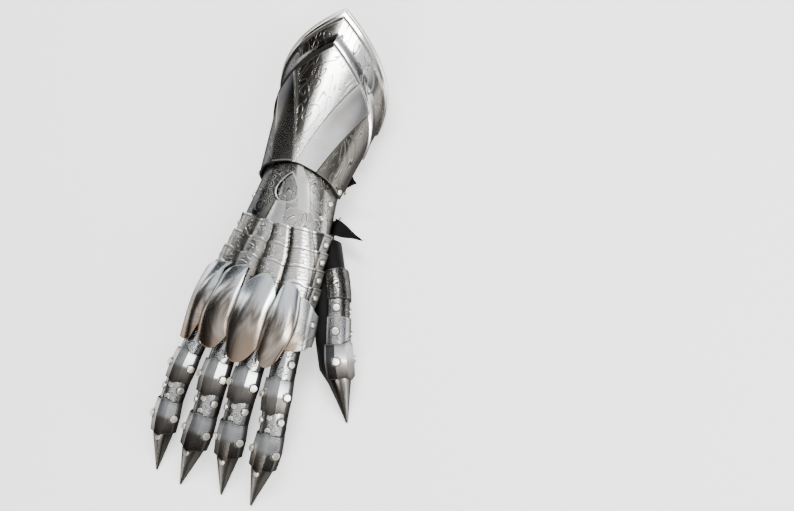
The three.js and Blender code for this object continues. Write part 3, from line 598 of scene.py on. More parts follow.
def steel_material(name, paint, rough, size=11.0, width=0.7, stretch=0.8, depth=0.25, ground=0.4,
                   grain=0.05, stain=0.75, drift=0.12, side_shade=1.118, streaks=0.0):
    """Worn steel, engraved where the piece says so, with painted shade on the sides that face down and away
    from the thumb; paint is a colour or a list of (tone, colour).
    """
    material, graph, shader = new_material(name)
    uv = graph.put("UVMap", {"uv_map": "UVMap"}).outputs[0]
    place = graph.put("TexCoord")
    space = place.outputs["Object"]
    cut, tone, ink_and_shade = (graph.attribute(key) for key in ("engrave", "tone", "ink_and_shade"))
    cloud = graph.noise(space, 38.0, 5.0)
    fine = graph.noise(space, 1500.0, 2.0)

    if isinstance(paint, list):
        level = graph.plus(tone, graph.times(graph.minus(cloud, 0.5), drift * 2))
        if streaks:
            streak = graph.noise(graph.vector("MULTIPLY", uv, (0.22, 0.03, 1.0)), 1.0, 2.5, "2D")
            level = graph.plus(level, graph.times(graph.minus(streak, 0.5), streaks))
        base = graph.colours(level, paint)
    else:
        base = (*paint, 1)
    dull = graph.blend(1.0, base, (stain, stain * 0.97, stain * 0.93, 1), "MULTIPLY")
    stained = graph.blend(graph.ramp(cloud, 0.45, 0.75), base, dull)

    line, light, floor = scroll_lines(graph, uv, size, width, stretch)
    mask = graph.times(line, cut)
    deep = graph.blend(1.0, stained, (0.42, 0.41, 0.40, 1), "MULTIPLY")
    shade = graph.blend(graph.times(graph.times(floor, cut), ground), stained, deep)
    # Painted highlight: a pale band beside each engraved line
    highlight_tint = graph.blend(0.4, stained, (0.90, 0.90, 0.88, 1))
    lip_highlighted = graph.blend(graph.times(graph.times(light, cut), 0.7), shade, highlight_tint)

    # Painted shade: the colour turns near black, rougher and less metal on the sides that face down and away
    # from the thumb
    facing = graph.put("SeparateXYZ", None, Vector=place.outputs["Normal"])
    lean = graph.plus(facing.outputs["Z"], graph.times(facing.outputs["X"], SHADE_LEAN))
    unshaded = graph.ramp(lean, SHADE_FULL, SHADE_NONE)
    painted_shade = graph.maths("MULTIPLY", graph.minus(1.0, unshaded), side_shade, True)
    side_shaded = graph.blend(painted_shade, lip_highlighted, PAINTED_SHADE_COLOUR)
    # Dark: the engraving, the outlines and painted shade, in one near-black colour
    dark = graph.maths("MAXIMUM", graph.times(mask, 0.85), graph.times(ink_and_shade, 0.95))
    graph.join(graph.blend(dark, side_shaded, INK_AND_SHADE_COLOUR), shader.inputs["Base Color"])
    darkened = graph.maths("MAXIMUM", painted_shade, graph.times(ink_and_shade, 0.9))
    graph.join(graph.maths("SUBTRACT", 1.0, darkened, True), shader.inputs["Metallic"])
    shader.inputs["Specular IOR Level"].default_value = 0.0
    worn = graph.plus(rough, graph.times(cloud, 0.10))
    rougher = graph.plus(graph.times(dark, 0.30), graph.times(painted_shade, 0.40))
    graph.join(graph.plus(worn, rougher), shader.inputs["Roughness"])
    height = graph.minus(graph.times(fine, grain), mask)
    graph.join(graph.bump(height, 0.5, depth / 1000), shader.inputs["Normal"])
    return material


def leather_material():
    """Black leather with fine pebbles and soft folds."""
    material, graph, shader = new_material("black_leather")
    space = graph.put("TexCoord").outputs["Object"]
    pebble = graph.put("TexVoronoi", {"feature": "DISTANCE_TO_EDGE"}, Vector=space, Scale=620.0)
    folds = graph.noise(space, 60.0, 6.0, Roughness=0.62)
    worn = graph.ramp(graph.noise(space, 24.0, 3.0), 0.45, 0.7)
    colour = graph.blend(worn, (0.002, 0.002, 0.002, 1), (0.006, 0.006, 0.006, 1))
    graph.join(colour, shader.inputs["Base Color"])
    graph.join(graph.plus(0.48, graph.times(folds, 0.25)), shader.inputs["Roughness"])
    edge = graph.ramp(pebble.outputs["Distance"], 0.0, 0.25)
    height = graph.plus(graph.times(edge, 0.25), folds)
    graph.join(graph.bump(height, 0.6, 0.0006), shader.inputs["Normal"])
    shader.inputs["Specular IOR Level"].default_value = 0.12
    return material


# Colours from the darkest tone to the lightest
TONES = [(0.0, (0.012, 0.016, 0.022)), (0.22, (0.085, 0.080, 0.070)), (0.46, (0.23, 0.215, 0.19)),
         (0.72, (0.50, 0.49, 0.47)), (1.0, (0.90, 0.90, 0.89))]
FINGER_TONES = [(0.0, (0.03, 0.029, 0.028)), (0.5, (0.12, 0.115, 0.105)), (1.0, (0.40, 0.405, 0.41))]
KNUCKLE_TONES = [(0.0, (0.78, 0.85, 0.92)), (0.28, (0.72, 0.74, 0.75)), (0.50, (0.20, 0.17, 0.145)),
                 (0.70, (0.46, 0.40, 0.34)), (0.86, (0.32, 0.26, 0.205)), (1.0, (0.36, 0.25, 0.18))]
CLAW_TONES = [(0.0, (0.015, 0.014, 0.013)), (0.35, (0.06, 0.055, 0.05)), (0.7, (0.19, 0.18, 0.16)),
              (1.0, (0.75, 0.74, 0.72))]
# Cap tones: light for the rear facet, painted shade for the front one
CAP_TONES = [(0.0, (0.20, 0.20, 0.20)), (0.14, (0.46, 0.465, 0.47)), (0.42, (0.46, 0.465, 0.47)),
             (0.58, (0.24, 0.225, 0.205)), (0.78, (0.17, 0.155, 0.14)), (1.0, (0.06, 0.055, 0.05))]
CUFF_LOOK = steel_material("cuff_steel", TONES, 0.15, size=15.0, width=0.95, stretch=0.6, drift=0.05)
WRIST_LOOK = steel_material("wrist_steel", TONES, 0.16, size=10.0, width=0.85, drift=0.05)
LAME_LOOK = steel_material("lame_steel", TONES, 0.17, size=8.5, width=0.75, stretch=1.2, ground=0.15,
                           drift=0.08)
FINGER_STEEL_LOOK = steel_material("finger_steel", FINGER_TONES, 0.19, size=8.0, width=0.8, depth=0.12,
                                   ground=0.0, drift=0.05)
RIM_LOOK = steel_material("rim_steel", (0.80, 0.78, 0.74), 0.34, side_shade=0.325)
# Its streaks are streaks of painted highlight along the knuckle plate's lobes
KNUCKLE_LOOK = steel_material("knuckle_steel", KNUCKLE_TONES, 0.13, grain=0.02, stain=0.85, drift=0.10,
                              streaks=0.55)
RIVET_LOOK = steel_material("rivet_steel", (0.80, 0.77, 0.70), 0.26, grain=0.03, stain=0.9, side_shade=0.65)
CLAW_LOOK = steel_material("claw_steel", CLAW_TONES, 0.22, grain=0.12, drift=0.04, streaks=0.2)
CAP_LOOK = steel_material("cap_steel", CAP_TONES, 0.14, grain=0.06, drift=0.03, streaks=0.12)
BLACK_LEATHER = leather_material()


def hand_over(obj, slot, *nodes):
    """The piece stands for its CAD nodes and rides on the one body."""
    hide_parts(*nodes)
    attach(obj, "root")


def deliver(build, node, slot, looks, **options):
    """Finishes the piece that stands for one CAD node."""
    hand_over(build.finish(f"{node}_piece", looks, **options), slot, node)


# Plates over the back of the hand

LAME_TOPS = [0.265, 0.378, 0.487, 0.600, 0.700]
LAME_SWEEP = 0.055 * HAND_LENGTH
LIFT_WRIST_LAME = SEAT + STEEL + 0.2
LIFT_WRIST_PLATE = 2 * (SEAT + STEEL) + 0.2
LIFT_LAME_LOW = 2 * (SEAT + STEEL) - 0.2
LIFT_LAME_HIGH = 3 * (SEAT + STEEL) + 1.3
LAME_PEAK = [1.2, 1.6, 2.0, 4.5]
FLUTED_TURN = 62


def make_lame(index):
    """A plate over the back of the hand, fluted in four barrels with creases between them."""
    rear = -LAME_TOPS[index] * HAND_LENGTH
    front = -LAME_TOPS[index + 1] * HAND_LENGTH - TUCK
    peak = LAME_PEAK[index]

    def surface(u, v):
        turn = u * DEG
        y = mix(front, rear, v) + LAME_SWEEP * math.sin(turn) ** 2
        lift = mix(LIFT_LAME_LOW, LIFT_LAME_HIGH, v)
        flat = over_hand(turn, y, lift)
        near = flute_at(flat.x, y)
        y += peak * near ** 5 * v ** 4
        side = clamp((abs(u) - 70) / 32, 0, 1)
        lobe = 1.6 * math.sin(math.pi * v) * side
        return over_hand(turn + math.copysign(lobe * 0.03, turn), y, lift + FLUTE_RISE * near)

    def ridge(u, v):
        """How near u, v is to a flute's ridge, and its place."""
        flat = over_hand(u * DEG, mix(front, rear, v), 3)
        return flute_at(flat.x, flat.y), flat

    def engrave(u, v):
        near, _ = ridge(u, v)
        if v > 0.90:
            return 0.0
        return 0.35 + 0.5 * smooth((near - 0.2) / 0.4) if abs(u) < FLUTED_TURN else 0.9

    # Painted light: painted shade in the flute valleys and painted highlight on the ridges, lighter towards
    # the thumb; past the flutes, light on the thumb's side and painted shade on the other; a painted
    # highlight along the free edge
    def tone(u, v):
        near, flat = ridge(u, v)
        if abs(u) > FLUTED_TURN:
            return 0.58 if u > 0 else 0.10
        crown = smooth((near - 0.12) / 0.80)
        side = smooth((flat.x / HAND_WIDTH + 0.42) / 0.5)
        return mix(0.03, mix(0.50, 0.84, side), crown) + (0.2 if v > 0.94 else 0)

    def ink_and_shade(u, v):
        near, flat = ridge(u, v)
        level = 0.85 if 0.895 < v < 0.935 else 0.0
        if abs(u) < FLUTED_TURN:
            # Painted shade in the flute valleys
            level = max(level, 0.5 * (1 - smooth(near / 0.4)))
            fore = HAND_WIDTH * FLUTE_RIDGES[3][1]
            if abs(flat.x - fore) < 11 and v < 0.88:
                level = max(level, 0.45 * smooth(math.sin(v * 44) * 2 - 0.8))
        return level

    build = Build()
    shell(build, surface, spaced((-102, 24), (-60, 130), (60, 22), (82, 0)), spaced((0, 48), (1, 0)), STEEL,
          engrave, tone, ink_and_shade)
    for spot in ((72, 0.55), (-78, 0.55)):
        rivet(build, *frame_at(surface, *spot, (0, (front + rear) / 2, 0)), SIDE_RIVET)
    deliver(build, f"lame_{index + 1}", "steel", [LAME_LOOK, RIVET_LOOK], bevel=0.3)


def make_wrist_lame():
    rear = CUFF_FRONT + 10
    front = -0.27 * HAND_LENGTH

    def surface(u, v):
        turn = u * DEG
        sweep = 0.02 * HAND_LENGTH * math.sin(turn) ** 2
        return over_hand(turn, mix(front, rear, v) + sweep, LIFT_WRIST_LAME)

    build = Build()
    # Tone: light on the thumb's side, painted shade on the side away from it
    shell(build, surface, spaced((-98, 120), (88, 0)), spaced((0, 36), (1, 0)), STEEL, lambda u, v: 1.0,
          lambda u, v: 0.60 if u > -10 else 0.1, lambda u, v: 0.8 if v < 0.02 else 0.0)
    rivet(build, *frame_at(surface, 70, 0.5, (0, 0, 0)), SIDE_RIVET)
    deliver(build, "wrist_lame", "steel", [WRIST_LOOK, RIVET_LOOK], bevel=0.3)


WING_PLACES = [-0.31, -0.27, -0.14, -0.04, 0.05, 0.12]
WING_TURNS = [76, 74, 66, 42, 24, 12]
EYE = {"top": 8, "bottom": -16, "left": -5, "right": 16.5, "centre": 6.5}


def eye_outline():
    """The pointed oval of the hole, from above."""
    outline = []
    for i in range(72):
        turn = 2 * math.pi * i / 72
        fall = (1 - math.cos(turn)) / 2
        width = math.sin(turn) * math.sqrt(fall) * 1.1
        half = EYE["centre"] - EYE["left"] if width < 0 else EYE["right"] - EYE["centre"]
        outline.append((EYE["centre"] + width * half, mix(EYE["top"], EYE["bottom"], fall)))
    return outline


def make_wrist_plate():
    """Two wings and a tongue between the cuff and the lames, with the hole cut through."""
    front = -0.286 * HAND_LENGTH
    rear = CUFF_FRONT + 3

    def surface(u, v):
        y = mix(front, rear, v)
        right = through(WING_PLACES, WING_TURNS, y / HAND_LENGTH) * DEG
        left = mix(-100, -74, v) * DEG
        turn = mix(left, right, (u + 1) / 2)
        sweep = 0.035 * HAND_LENGTH * math.sin(turn) ** 2 * (1 - v)
        return over_hand(turn, y + sweep, LIFT_WRIST_PLATE)

    hole = np.array(eye_outline())

    def zones(u, v):
        """How far u, v is in the tongue, the light strip and the plain triangle, and from the hole."""
        point = surface(u, v)
        below = smooth((EYE["bottom"] - point.y) / 1.5)
        spread = (EYE["bottom"] - point.y) * 0.35
        left, right = EYE["left"] + 3.5 - 0.6 * spread, EYE["right"] - 7 + 0.2 * spread
        tongue = smooth((point.x - left) / 1.2) * smooth((right - point.x) / 1.2) * below
        plain = smooth((point.x - left + 1.1 * spread + 3) / 1.2) * smooth((left - point.x) / 1.2) * below
        lean = EYE["right"] + (EYE["top"] - point.y) * 0.30
        strip = smooth((point.x - lean + 6) / 1.2) * smooth((lean + 5 - point.x) / 1.2)
        strip *= smooth((point.y - EYE["bottom"] + 5) / 2)
        away = np.hypot(hole[:, 0] - point.x, hole[:, 1] - point.y).min()
        return point, tongue, strip, plain, away, (left, right, lean, below)

    def engrave(u, v):
        _, tongue, strip, plain, away, _ = zones(u, v)
        return (1 - max(tongue, strip, plain)) * smooth((away - 1.5) / 1)

    def tone(u, v):
        point, tongue, strip, plain, away, _ = zones(u, v)
        # Painted shade: dark on the side of the hole away from the thumb, darker still further out; light on
        # the thumb's side
        level = mix(0.14, 0.76, smooth((point.x - EYE["centre"]) / 5))
        level -= 0.12 * smooth((-10 - point.x) / 12)
        level = mix(level, 0.27, plain)
        level = mix(level, 0.88, tongue)
        level = mix(level, 0.92, strip)
        return mix(0.95, level, smooth((away - 1.0) / 0.8))

    def ink_and_shade(u, v):
        point, _, _, _, away, (left, right, lean, below) = zones(u, v)
        level = 0.8 * below * max(0, 1 - abs(point.x - left) / 0.9, 1 - abs(point.x - right) / 0.9)
        level = max(level, 0.7 * max(0, 1 - abs(point.x - lean - 5) / 0.9) * (1 - below))
        level = max(level, 0.75 * max(0, 1 - abs(away - 2.4) / 0.8) if point.x < EYE["centre"] + 4 else 0)
        return max(level, 0.9 if v < 0.012 or abs(u) > 0.988 else 0.0)

    build = Build()
    shell(build, surface, spaced((-1, 190), (1, 0)), spaced((0, 90), (1, 0)), STEEL, engrave, tone, ink_and_shade)
    obj = build.finish("wrist_plate_piece", [WRIST_LOOK])
    rings = [[Vector((x, y, z)) for x, y in hole] for z in (0, 100)]
    cut_away(obj, new_object("eye_cutter", *rings_mesh(rings)))
    add_bevel(obj, 0.3, 50)
    hand_over(obj, "steel", "wrist_plate")
    studs = Build()
    for spot in ((0.86, 0.32), (-0.72, 0.42)):
        rivet(studs, *frame_at(surface, *spot, (0, front / 2, 0)), SIDE_RIVET, slot=0)
    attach(studs.finish("wrist_plate_rivets", [RIVET_LOOK]), "root")


# The knuckle plate

LINE_PLACES = [0, 0.36, 0.70, 1]
KNUCKLE_VALLEYS = (3, 5, 7, 9)
FLANGE_LINE = 9
FLANGE_END = 9.9


def knuckle_surface(u, v):
    """The plate between its lines: full lobes with narrow valleys, u counts the lines."""
    last = len(KNUCKLE_LINES) - 1
    k = int(clamp(math.floor(u), 0, last - 1))
    t = u - k
    here, after = KNUCKLE_LINES[k], KNUCKLE_LINES[k + 1]
    if here[2] > after[2]:
        edge = t ** 2.3
        bulge = 1 - (1 - t ** 2.2) ** 0.65
    else:
        edge = 1 - (1 - t) ** 2.3
        bulge = (1 - (1 - t) ** 2.2) ** 0.65
    across = mix(through(LINE_PLACES, here[0], v), through(LINE_PLACES, after[0], v), t)
    along = mix(through(LINE_PLACES, here[1], v), through(LINE_PLACES, after[1], v), edge)
    share = clamp((along - 0.56) / 0.54, 0, 1)
    lift = through([0, 0.45, 1], KNUCKLE_LIFT, share)
    side = 1 - clamp((abs(across) - 0.6) / 0.5, 0, 1)
    over = mix(LIFT_LAME_HIGH + STEEL + SEAT, lift, side)
    swell = 0.55 + 0.45 * math.sin(math.pi * clamp(v, 0, 1))
    rise = mix(here[2], after[2], bulge) * KNUCKLE_RISE * swell
    return over_hand(turn_across(across), -along * HAND_LENGTH, over + rise)


def make_knuckle_plate():
    build = Build()
    last = len(KNUCKLE_LINES) - 1
    us = spaced(*[(k, 14) for k in range(last + 1)])

    def flange_foot(u, v):
        return smooth((v - 0.5) / 0.4) * smooth((FLANGE_END - u) / 0.5)

    def tone(u, v):
        # Painted reflection: copper at the flange's front end, over a grey-blue that darkens towards the
        # front
        if u > FLANGE_LINE:
            return mix(0.16, 0.42, v) + 0.52 * flange_foot(u, v)
        # Pale blue-white at the raised rear tips, a painted highlight, turning brown towards the front ends
        return v + 0.05 * math.sin(u * 2.2)

    def ink_and_shade(u, v):
        # Painted shade in the narrow valleys between the lobes
        valley = min(abs(u - k) for k in KNUCKLE_VALLEYS)
        level = 0.75 * max(0, 1 - valley / 0.22) ** 1.3
        # The copper patch of painted reflection is dimmed here too
        if u > FLANGE_LINE:
            level = max(level, 0.6 * flange_foot(u, v))
        return max(level, 0.8 if v < 0.01 or v > 0.99 else 0.0)

    shell(build, knuckle_surface, us, spaced((0, 70), (1, 0)), STEEL, None, tone, ink_and_shade)
    rivet(build, *frame_at(knuckle_surface, 10.2, 0.35, (0, -HAND_LENGTH * 0.8, 0)), SIDE_RIVET)
    deliver(build, "knuckle_plate", "polished_steel", [KNUCKLE_LOOK, RIVET_LOOK], sharp=50, bevel=0.35)


# The cuff

CUFF_TURN = 105 * DEG
CUFF_REAR = CUFF_FRONT + CUFF_LENGTH
BORDER_SHARE = 0.225
# Lines along the cuff: number, turn at the front and at the rib in degrees
CUFF_LINES = [
    (0, 0, 0), (1, 1.0, 14), (2, 2, 35), (3, 3.4, 36.4), (4, 17, 49), (5, 30.6, 61.6), (6, 32, 63),
    (7, 62, 82), (8, 86, 95), (9, 105, 105),
]
CUFF_LIFT = [0, 0, 0, 1, 1, 1, 0, 0, 0, 0]
# Rows of the cuff, place along it and how much of the rim's rise they have
CUFF_ROWS = [
    (0, 0), (0.25, 0), (0.5, 0), (0.75, 0), (0.98, 0), (1, 1), (1.35, 0), (1.74, 0), (1.80, 1), (2, 1),
]
RIB_ROW = 3.97
BORDER_ROW = 5.15
RIM_ROW = 7.8


def cuff_front_edge(turn):
    scallop = 1.3 * math.cos(turn * 5.0) * math.exp(-(turn / 1.3) ** 2)
    return CUFF_FRONT - 0.075 * CUFF_LENGTH * math.sin(turn) ** 4 + scallop


def cuff_rear_edge(turn):
    return CUFF_REAR - CUFF_SIDE_DROP * abs(turn) / CUFF_TURN


def cuff_surface(u, v):
    """The cuff's outer face: u counts the lines from the crown, v the rows from the front."""
    size = min(abs(u), 9)
    k = int(min(math.floor(size), 8))
    t = size - k
    row = clamp(v, 0, 9)
    j = int(min(math.floor(row), 8))
    s = row - j
    place = mix(CUFF_ROWS[j][0], CUFF_ROWS[j + 1][0], s)
    border = mix(CUFF_ROWS[j][1], CUFF_ROWS[j + 1][1], smooth(s))
    run = min(place, 1)
    turn = math.copysign(mix(mix(CUFF_LINES[k][1], CUFF_LINES[k + 1][1], t),
                             mix(CUFF_LINES[k][2], CUFF_LINES[k + 1][2], t), run) * DEG, u)
    front, rear = cuff_front_edge(turn), cuff_rear_edge(turn)
    rib = rear - BORDER_SHARE * CUFF_LENGTH
    y = mix(front, rib, place) if place <= 1 else mix(rib, rear, place - 1)
    band = mix(CUFF_LIFT[k], CUFF_LIFT[k + 1], smooth(t)) * BAND_RISE if place < 1 else 0
    if 3 <= size <= 5 and place < 1:
        band -= 0.5 * math.sin(math.pi * (size - 3) / 2)
    return cuff_point(turn, y, max(band, border * RIM_RISE))


def make_cuff():
    def engrave(u, v):
        size = abs(u)
        if v > RIM_ROW:
            return 0.0
        if v > BORDER_ROW:
            return 1.0
        if v > RIB_ROW:
            return 0.0
        if 1.9 < size < 6.1:
            return 0.0
        return 0.62 if 0 < u < 2 else 0.95

    # Painted shade: darker on the side away from the thumb and towards the lower sides; the centre's flame is
    # the cuff's own two tones
    def tone(u, v):
        size = abs(u)
        if v > RIM_ROW:
            return 0.9
        if v > BORDER_ROW + 0.25:
            if u < 0:
                return mix(0.50, 0.06, smooth((size - 0.6) / 3.4))
            return mix(0.93, 0.40, smooth((size - 3.0) / 3)) - 0.34 * smooth((size - 7.0) / 1.3)
        if v > RIB_ROW:
            return 0.03 if u < 0 else 0.9
        if size < 2:
            across = u / 2
            edge = -0.28 + 0.13 * math.sin(2.6 * v)
            flame = smooth((edge - across) / 0.07 + 0.5) * smooth((across + 0.93) / 0.05)
            return mix(0.86, 0.46, flame * smooth((v - 0.7) / 0.4))
        if size < 6:
            if 2.3 < size < 3.1 or 4.9 < size < 5.7:
                return 0.95 if u > 0 else 0.6
            if u < 0:
                return mix(0.58, 0.0, smooth((v - 1.4) / 1.8))
            return 0.96 - 0.30 * math.exp(-((size - 3.5) / 0.45) ** 2) * smooth((v - 1) / 3)
        if u < 0:
            return 0.06
        return 0.37 - 0.30 * smooth((size - 7.2) / 1.2)

    def ink_and_shade(u, v):
        size = abs(u)
        # Painted shade: the border band and the strip before the rim are near black on the side away from the
        # thumb
        if RIB_ROW < v < BORDER_ROW + 0.05:
            return 0.97 if u < 0 else 0.35 * (v < 4.15)
        if 7 <= v < 7.7:
            return 0.9 if u < 0 else 0.35
        if v < 0.02:
            return 0.95
        if v < 4 and (1.97 < size < 2.3 or 5.7 < size < 6.03):
            return 0.85
        return 0.0

    steps = [9, 8, 18, 4, 12, 12, 4, 20, 14, 14, 20, 4, 12, 12, 4, 18, 8, 9, 0]
    us = spaced(*zip(range(-9, 10), steps))
    vs = spaced((0, 16), (1, 16), (2, 16), (3, 16), (4, 12), (4.75, 3), (5, 3), (5.15, 12), (6, 12), (7, 3),
                (8, 3), (9, 0))
    build = Build()
    shell(build, cuff_surface, us, vs, CUFF_WALL, engrave, tone, ink_and_shade)
    for spot in ((7.85, 0.25), (-7.85, 0.25)):
        rivet(build, *frame_at(cuff_surface, *spot, (CUFF_CENTRE, CUFF_FRONT, 0)), SIDE_RIVET)
    rings = []
    for d in spaced((-105, 150), (105, 0)):
        turn = d * DEG
        at = cuff_point(turn, cuff_rear_edge(turn) - 1.2, RIM_RISE - 1.2)
        ahead = cuff_point(turn + 0.01, cuff_rear_edge(turn + 0.01), 0)
        back = cuff_point(turn - 0.01, cuff_rear_edge(turn - 0.01), 0)
        tangent = (ahead - back).normalized()
        outward = (cuff_point(turn, at.y, 5) - cuff_point(turn, at.y, 0)).normalized()
        outward = (outward - tangent * outward.dot(tangent)).normalized()
        rings.append(ring_round(at, outward, tangent.cross(outward), RIM_ROLL, 16))
    build.add(*rings_mesh(rings), slot=2)
    deliver(build, "cuff", "steel", [CUFF_LOOK, RIVET_LOOK, RIM_LOOK], sharp=32, bevel=0.25)


# Fingers and thumb

def bone_path(places, points, roll):
    """A path through the joints: point, direction, side and outward direction at s."""
    def point(s):
        return Vector([through(places, [p[c] for p in points], s) for c in range(3)])

    def at(s):
        along = (point(s + 0.01) - point(s - 0.01)).normalized()
        side = -Vector((0, 0, 1)).cross(along).normalized()
        out = -along.cross(side)
        if out.z < 0:
            out.negate()
        turn = Matrix.Rotation(-roll, 3, along)
        return point(s), along, turn @ side, turn @ out

    return at


def round_path(path, turn, s, radius):
    """A point at a turn and a radius round the path."""
    origin, _, side, out = path(s)
    return origin + side * (radius * math.sin(turn)) + out * (radius * math.cos(turn))


def over_round(radius):
    return radius + FINGER_SEAT + FINGER_STEEL


def cap_over(radius):
    return (radius + FINGER_SEAT) / math.cos(20 * DEG) + FINGER_STEEL


RIVET_PLACE = 56 / FINGER_TURN
CAP_CORNERS = [-FINGER_TURN, -58, -20, 20, 58, FINGER_TURN]


def outlines_and_flank_shade(node, u, v):
    """Dark outlines, and painted shade on the flanks of the fingers, most of all towards the thumb."""
    if v < 0.03 or v > 0.97 or abs(u) > 0.98:
        return 0.9
    if node.startswith("thumb"):
        return 0.0
    return max(0.9 * smooth((-u - 0.64) / 0.14), 0.6 * smooth((u - 0.74) / 0.14))


def knuckle_cap(node, path, span, radius):
    """A faceted cap with a ridge across, its side rivets and the small discs beyond its ends."""
    start, end = span

    def surface(u, v):
        degrees = u * FINGER_TURN
        point = max(0, 1 - abs(degrees) / 30) ** 1.2
        s = mix(start - CAP_PEAK * point, end + CAP_PEAK * point, v)
        crease = 1 - abs(v - 0.5) * 2
        k = sum(1 for corner in CAP_CORNERS[1:-1] if degrees > corner)
        a, b = CAP_CORNERS[k], CAP_CORNERS[k + 1]
        half = (b - a) / 2
        flat = math.cos(half * DEG) / math.cos((degrees - (a + b) / 2) * DEG)
        return round_path(path, degrees * DEG, s, (radius + CAP_RIDGE * crease) * (0.12 + 0.88 * flat))

    columns = [c / FINGER_TURN for c in spaced(*zip(CAP_CORNERS, (5, 5, 6, 5, 5, 0)))]
    build = Build()
    # Tone follows v: light on the rear facet, painted shade on the front facet deepening to the front edge
    shell(build, surface, columns, spaced((0, 14), (0.5, 14), (1, 0)), FINGER_STEEL,
          None, lambda u, v: v, lambda u, v: outlines_and_flank_shade(node, u, v))
    centre = path((start + end) / 2)[0]
    for sign in (1, -1):
        rivet(build, *frame_at(surface, sign * RIVET_PLACE, 0.5, centre), FINGER_RIVET, flat=True)
    under = (radius - FINGER_STEEL) * math.cos(20 * DEG) - FINGER_SEAT
    for s in (start - 0.024, end + 0.030):
        if node != "thumb_cap" and s > PLATE_1[1]:
            foot = under * (0.90 if s > CAP_B[1] else 1)
            rivet(build, round_path(path, 0.03, s, foot), path(s)[3], DISC_RIVET, flat=True)
    deliver(build, node, "steel", [CAP_LOOK, RIVET_LOOK], sharp=9, bevel=0.25)


def finger_plate(node, path, span, radius, rivet_place, tone=lambda u, v: 1.0):
    """A plain half tube over a finger, with a rivet on each side where a place is given."""

    def surface(u, v):
        return round_path(path, u * FINGER_TURN * DEG, mix(span[0], span[1], v), radius)

    build = Build()
    shell(build, surface, spaced((-1, 64), (1, 0)), spaced((0, 24), (1, 0)), FINGER_STEEL, lambda u, v: 1.0,
          tone, lambda u, v: outlines_and_flank_shade(node, u, v))
    if rivet_place is not None:
        centre = path((span[0] + span[1]) / 2)[0]
        for sign in (1, -1):
            rivet(build, *frame_at(surface, sign * RIVET_PLACE, rivet_place, centre), FINGER_RIVET, flat=True)
    deliver(build, node, "steel", [FINGER_STEEL_LOOK, RIVET_LOOK], bevel=0.25)


# Profiles of a claw: place along it and share of its radius
CLAW_OUTSIDE = [(1.0, 0.085), (0.95, 0.135), (0.85, 0.24), (0.70, 0.40), (0.55, 0.56), (0.40, 0.72),
                (0.25, 0.88), (0.12, 0.985), (0.06, 1.0), (0, 1.0)]
CLAW_INSIDE = [(0.0, 1.0), (0.10, 0.98), (0.30, 0.74), (0.50, 0.5)]
# Turns, in degrees, of the painted highlight streak on the claws
FINGER_HIGHLIGHT_TURN = 6
THUMB_HIGHLIGHT_TURN = 30


def make_claw(node, path, span, radius):
    """A hollow cone with a painted highlight streak on the side away from the thumb and painted shade round
    the rest.
    """
    start, end = span
    sides = 40
    profile = [(share, max(radius * girth, CLAW_TIP)) for share, girth in CLAW_OUTSIDE]
    profile += [(share, (radius - FINGER_STEEL) * girth) for share, girth in CLAW_INSIDE]
    rings = [[round_path(path, -2 * math.pi * i / sides, start + (end - start) * share, width)
              for i in range(sides)] for share, width in profile]
    points, faces = rings_mesh(rings)
    uvs = [(20 * i / sides, r * 3) for r in range(len(rings)) for i in range(sides)]
    turns = [-360 * i / sides for _ in rings for i in range(sides)]
    streak = THUMB_HIGHLIGHT_TURN if node == "thumb_claw" else FINGER_HIGHLIGHT_TURN
    # Painted highlight: a narrow streak with a softer glow beside it; painted shade elsewhere
    tones = [0.04 + 0.62 * max(0, math.cos((d - streak) * DEG)) ** 9
             + 0.26 * max(0, math.cos((d - streak + 12) * DEG)) ** 1.6 for d in turns]
    build = Build()
    build.add(points, faces, uvs, tone=tones)
    deliver(build, node, "steel", [CLAW_LOOK], sharp=50, bevel=0.2)


def finger_path(name):
    side, height, reach = FINGERS[name][:3]
    points = [(side[i] * HAND_WIDTH, HAND_FRONT - share * reach * FINGER_LENGTH, height[i] * HAND_HEIGHT)
              for i, share in enumerate(BONE_SHARES)]
    return bone_path(BONE_SHARES, points, 0)


def make_fingers():
    for name, (_, _, _, girth) in FINGERS.items():
        path = finger_path(name)
        plate = over_round(FINGER_LEATHER * girth)
        cap = cap_over(plate)
        finger_plate(f"{name}_plate_1", path, PLATE_1, plate, 0.4)
        knuckle_cap(f"{name}_cap_a", path, CAP_A, cap)
        finger_plate(f"{name}_plate_2", path, PLATE_2, plate, 0.45)
        knuckle_cap(f"{name}_cap_b", path, CAP_B, cap)
        make_claw(f"{name}_claw", path, CLAW, plate)


thumb_points = [(s * HAND_WIDTH, -a * HAND_LENGTH, h * HAND_HEIGHT)
                for s, a, h in zip(THUMB_SIDE, THUMB_ALONG, THUMB_HEIGHT)]
thumb_path = bone_path([0, 0.30, 0.64, 1], thumb_points, THUMB_ROLL)


def make_thumb():
    plate = over_round(THUMB_LEATHER)
    over = over_round(plate)
    # Painted shade: the base plate dark all over, and the first plate light on one side of a crease and dark
    # on the rest
    finger_plate("thumb_base", thumb_path, THUMB_BASE, over, None, lambda u, v: 0.16)
    finger_plate("thumb_plate_1", thumb_path, THUMB_PLATE_1, plate, 0.5,
                 lambda u, v: 0.12 + 0.83 * smooth((u - 0.28) / 0.1))
    finger_plate("thumb_plate_2", thumb_path, THUMB_PLATE_2, over, 0.45)
    knuckle_cap("thumb_cap", thumb_path, THUMB_CAP, cap_over(over))
    make_claw("thumb_claw", thumb_path, THUMB_CLAW, plate)


# The leather glove, one piece

PALM_END_HAND = -0.44 * HAND_LENGTH
PALM_END_WRIST = -0.32 * HAND_LENGTH
STRAP_BED = STRAP_THICK + SEAT
SLEEVE_REAR = CUFF_FRONT + 0.52 * CUFF_LENGTH
GLOVE_VOXEL = 1.3
GLOVE_SIDES = 72
TUBE_SIDES = 48
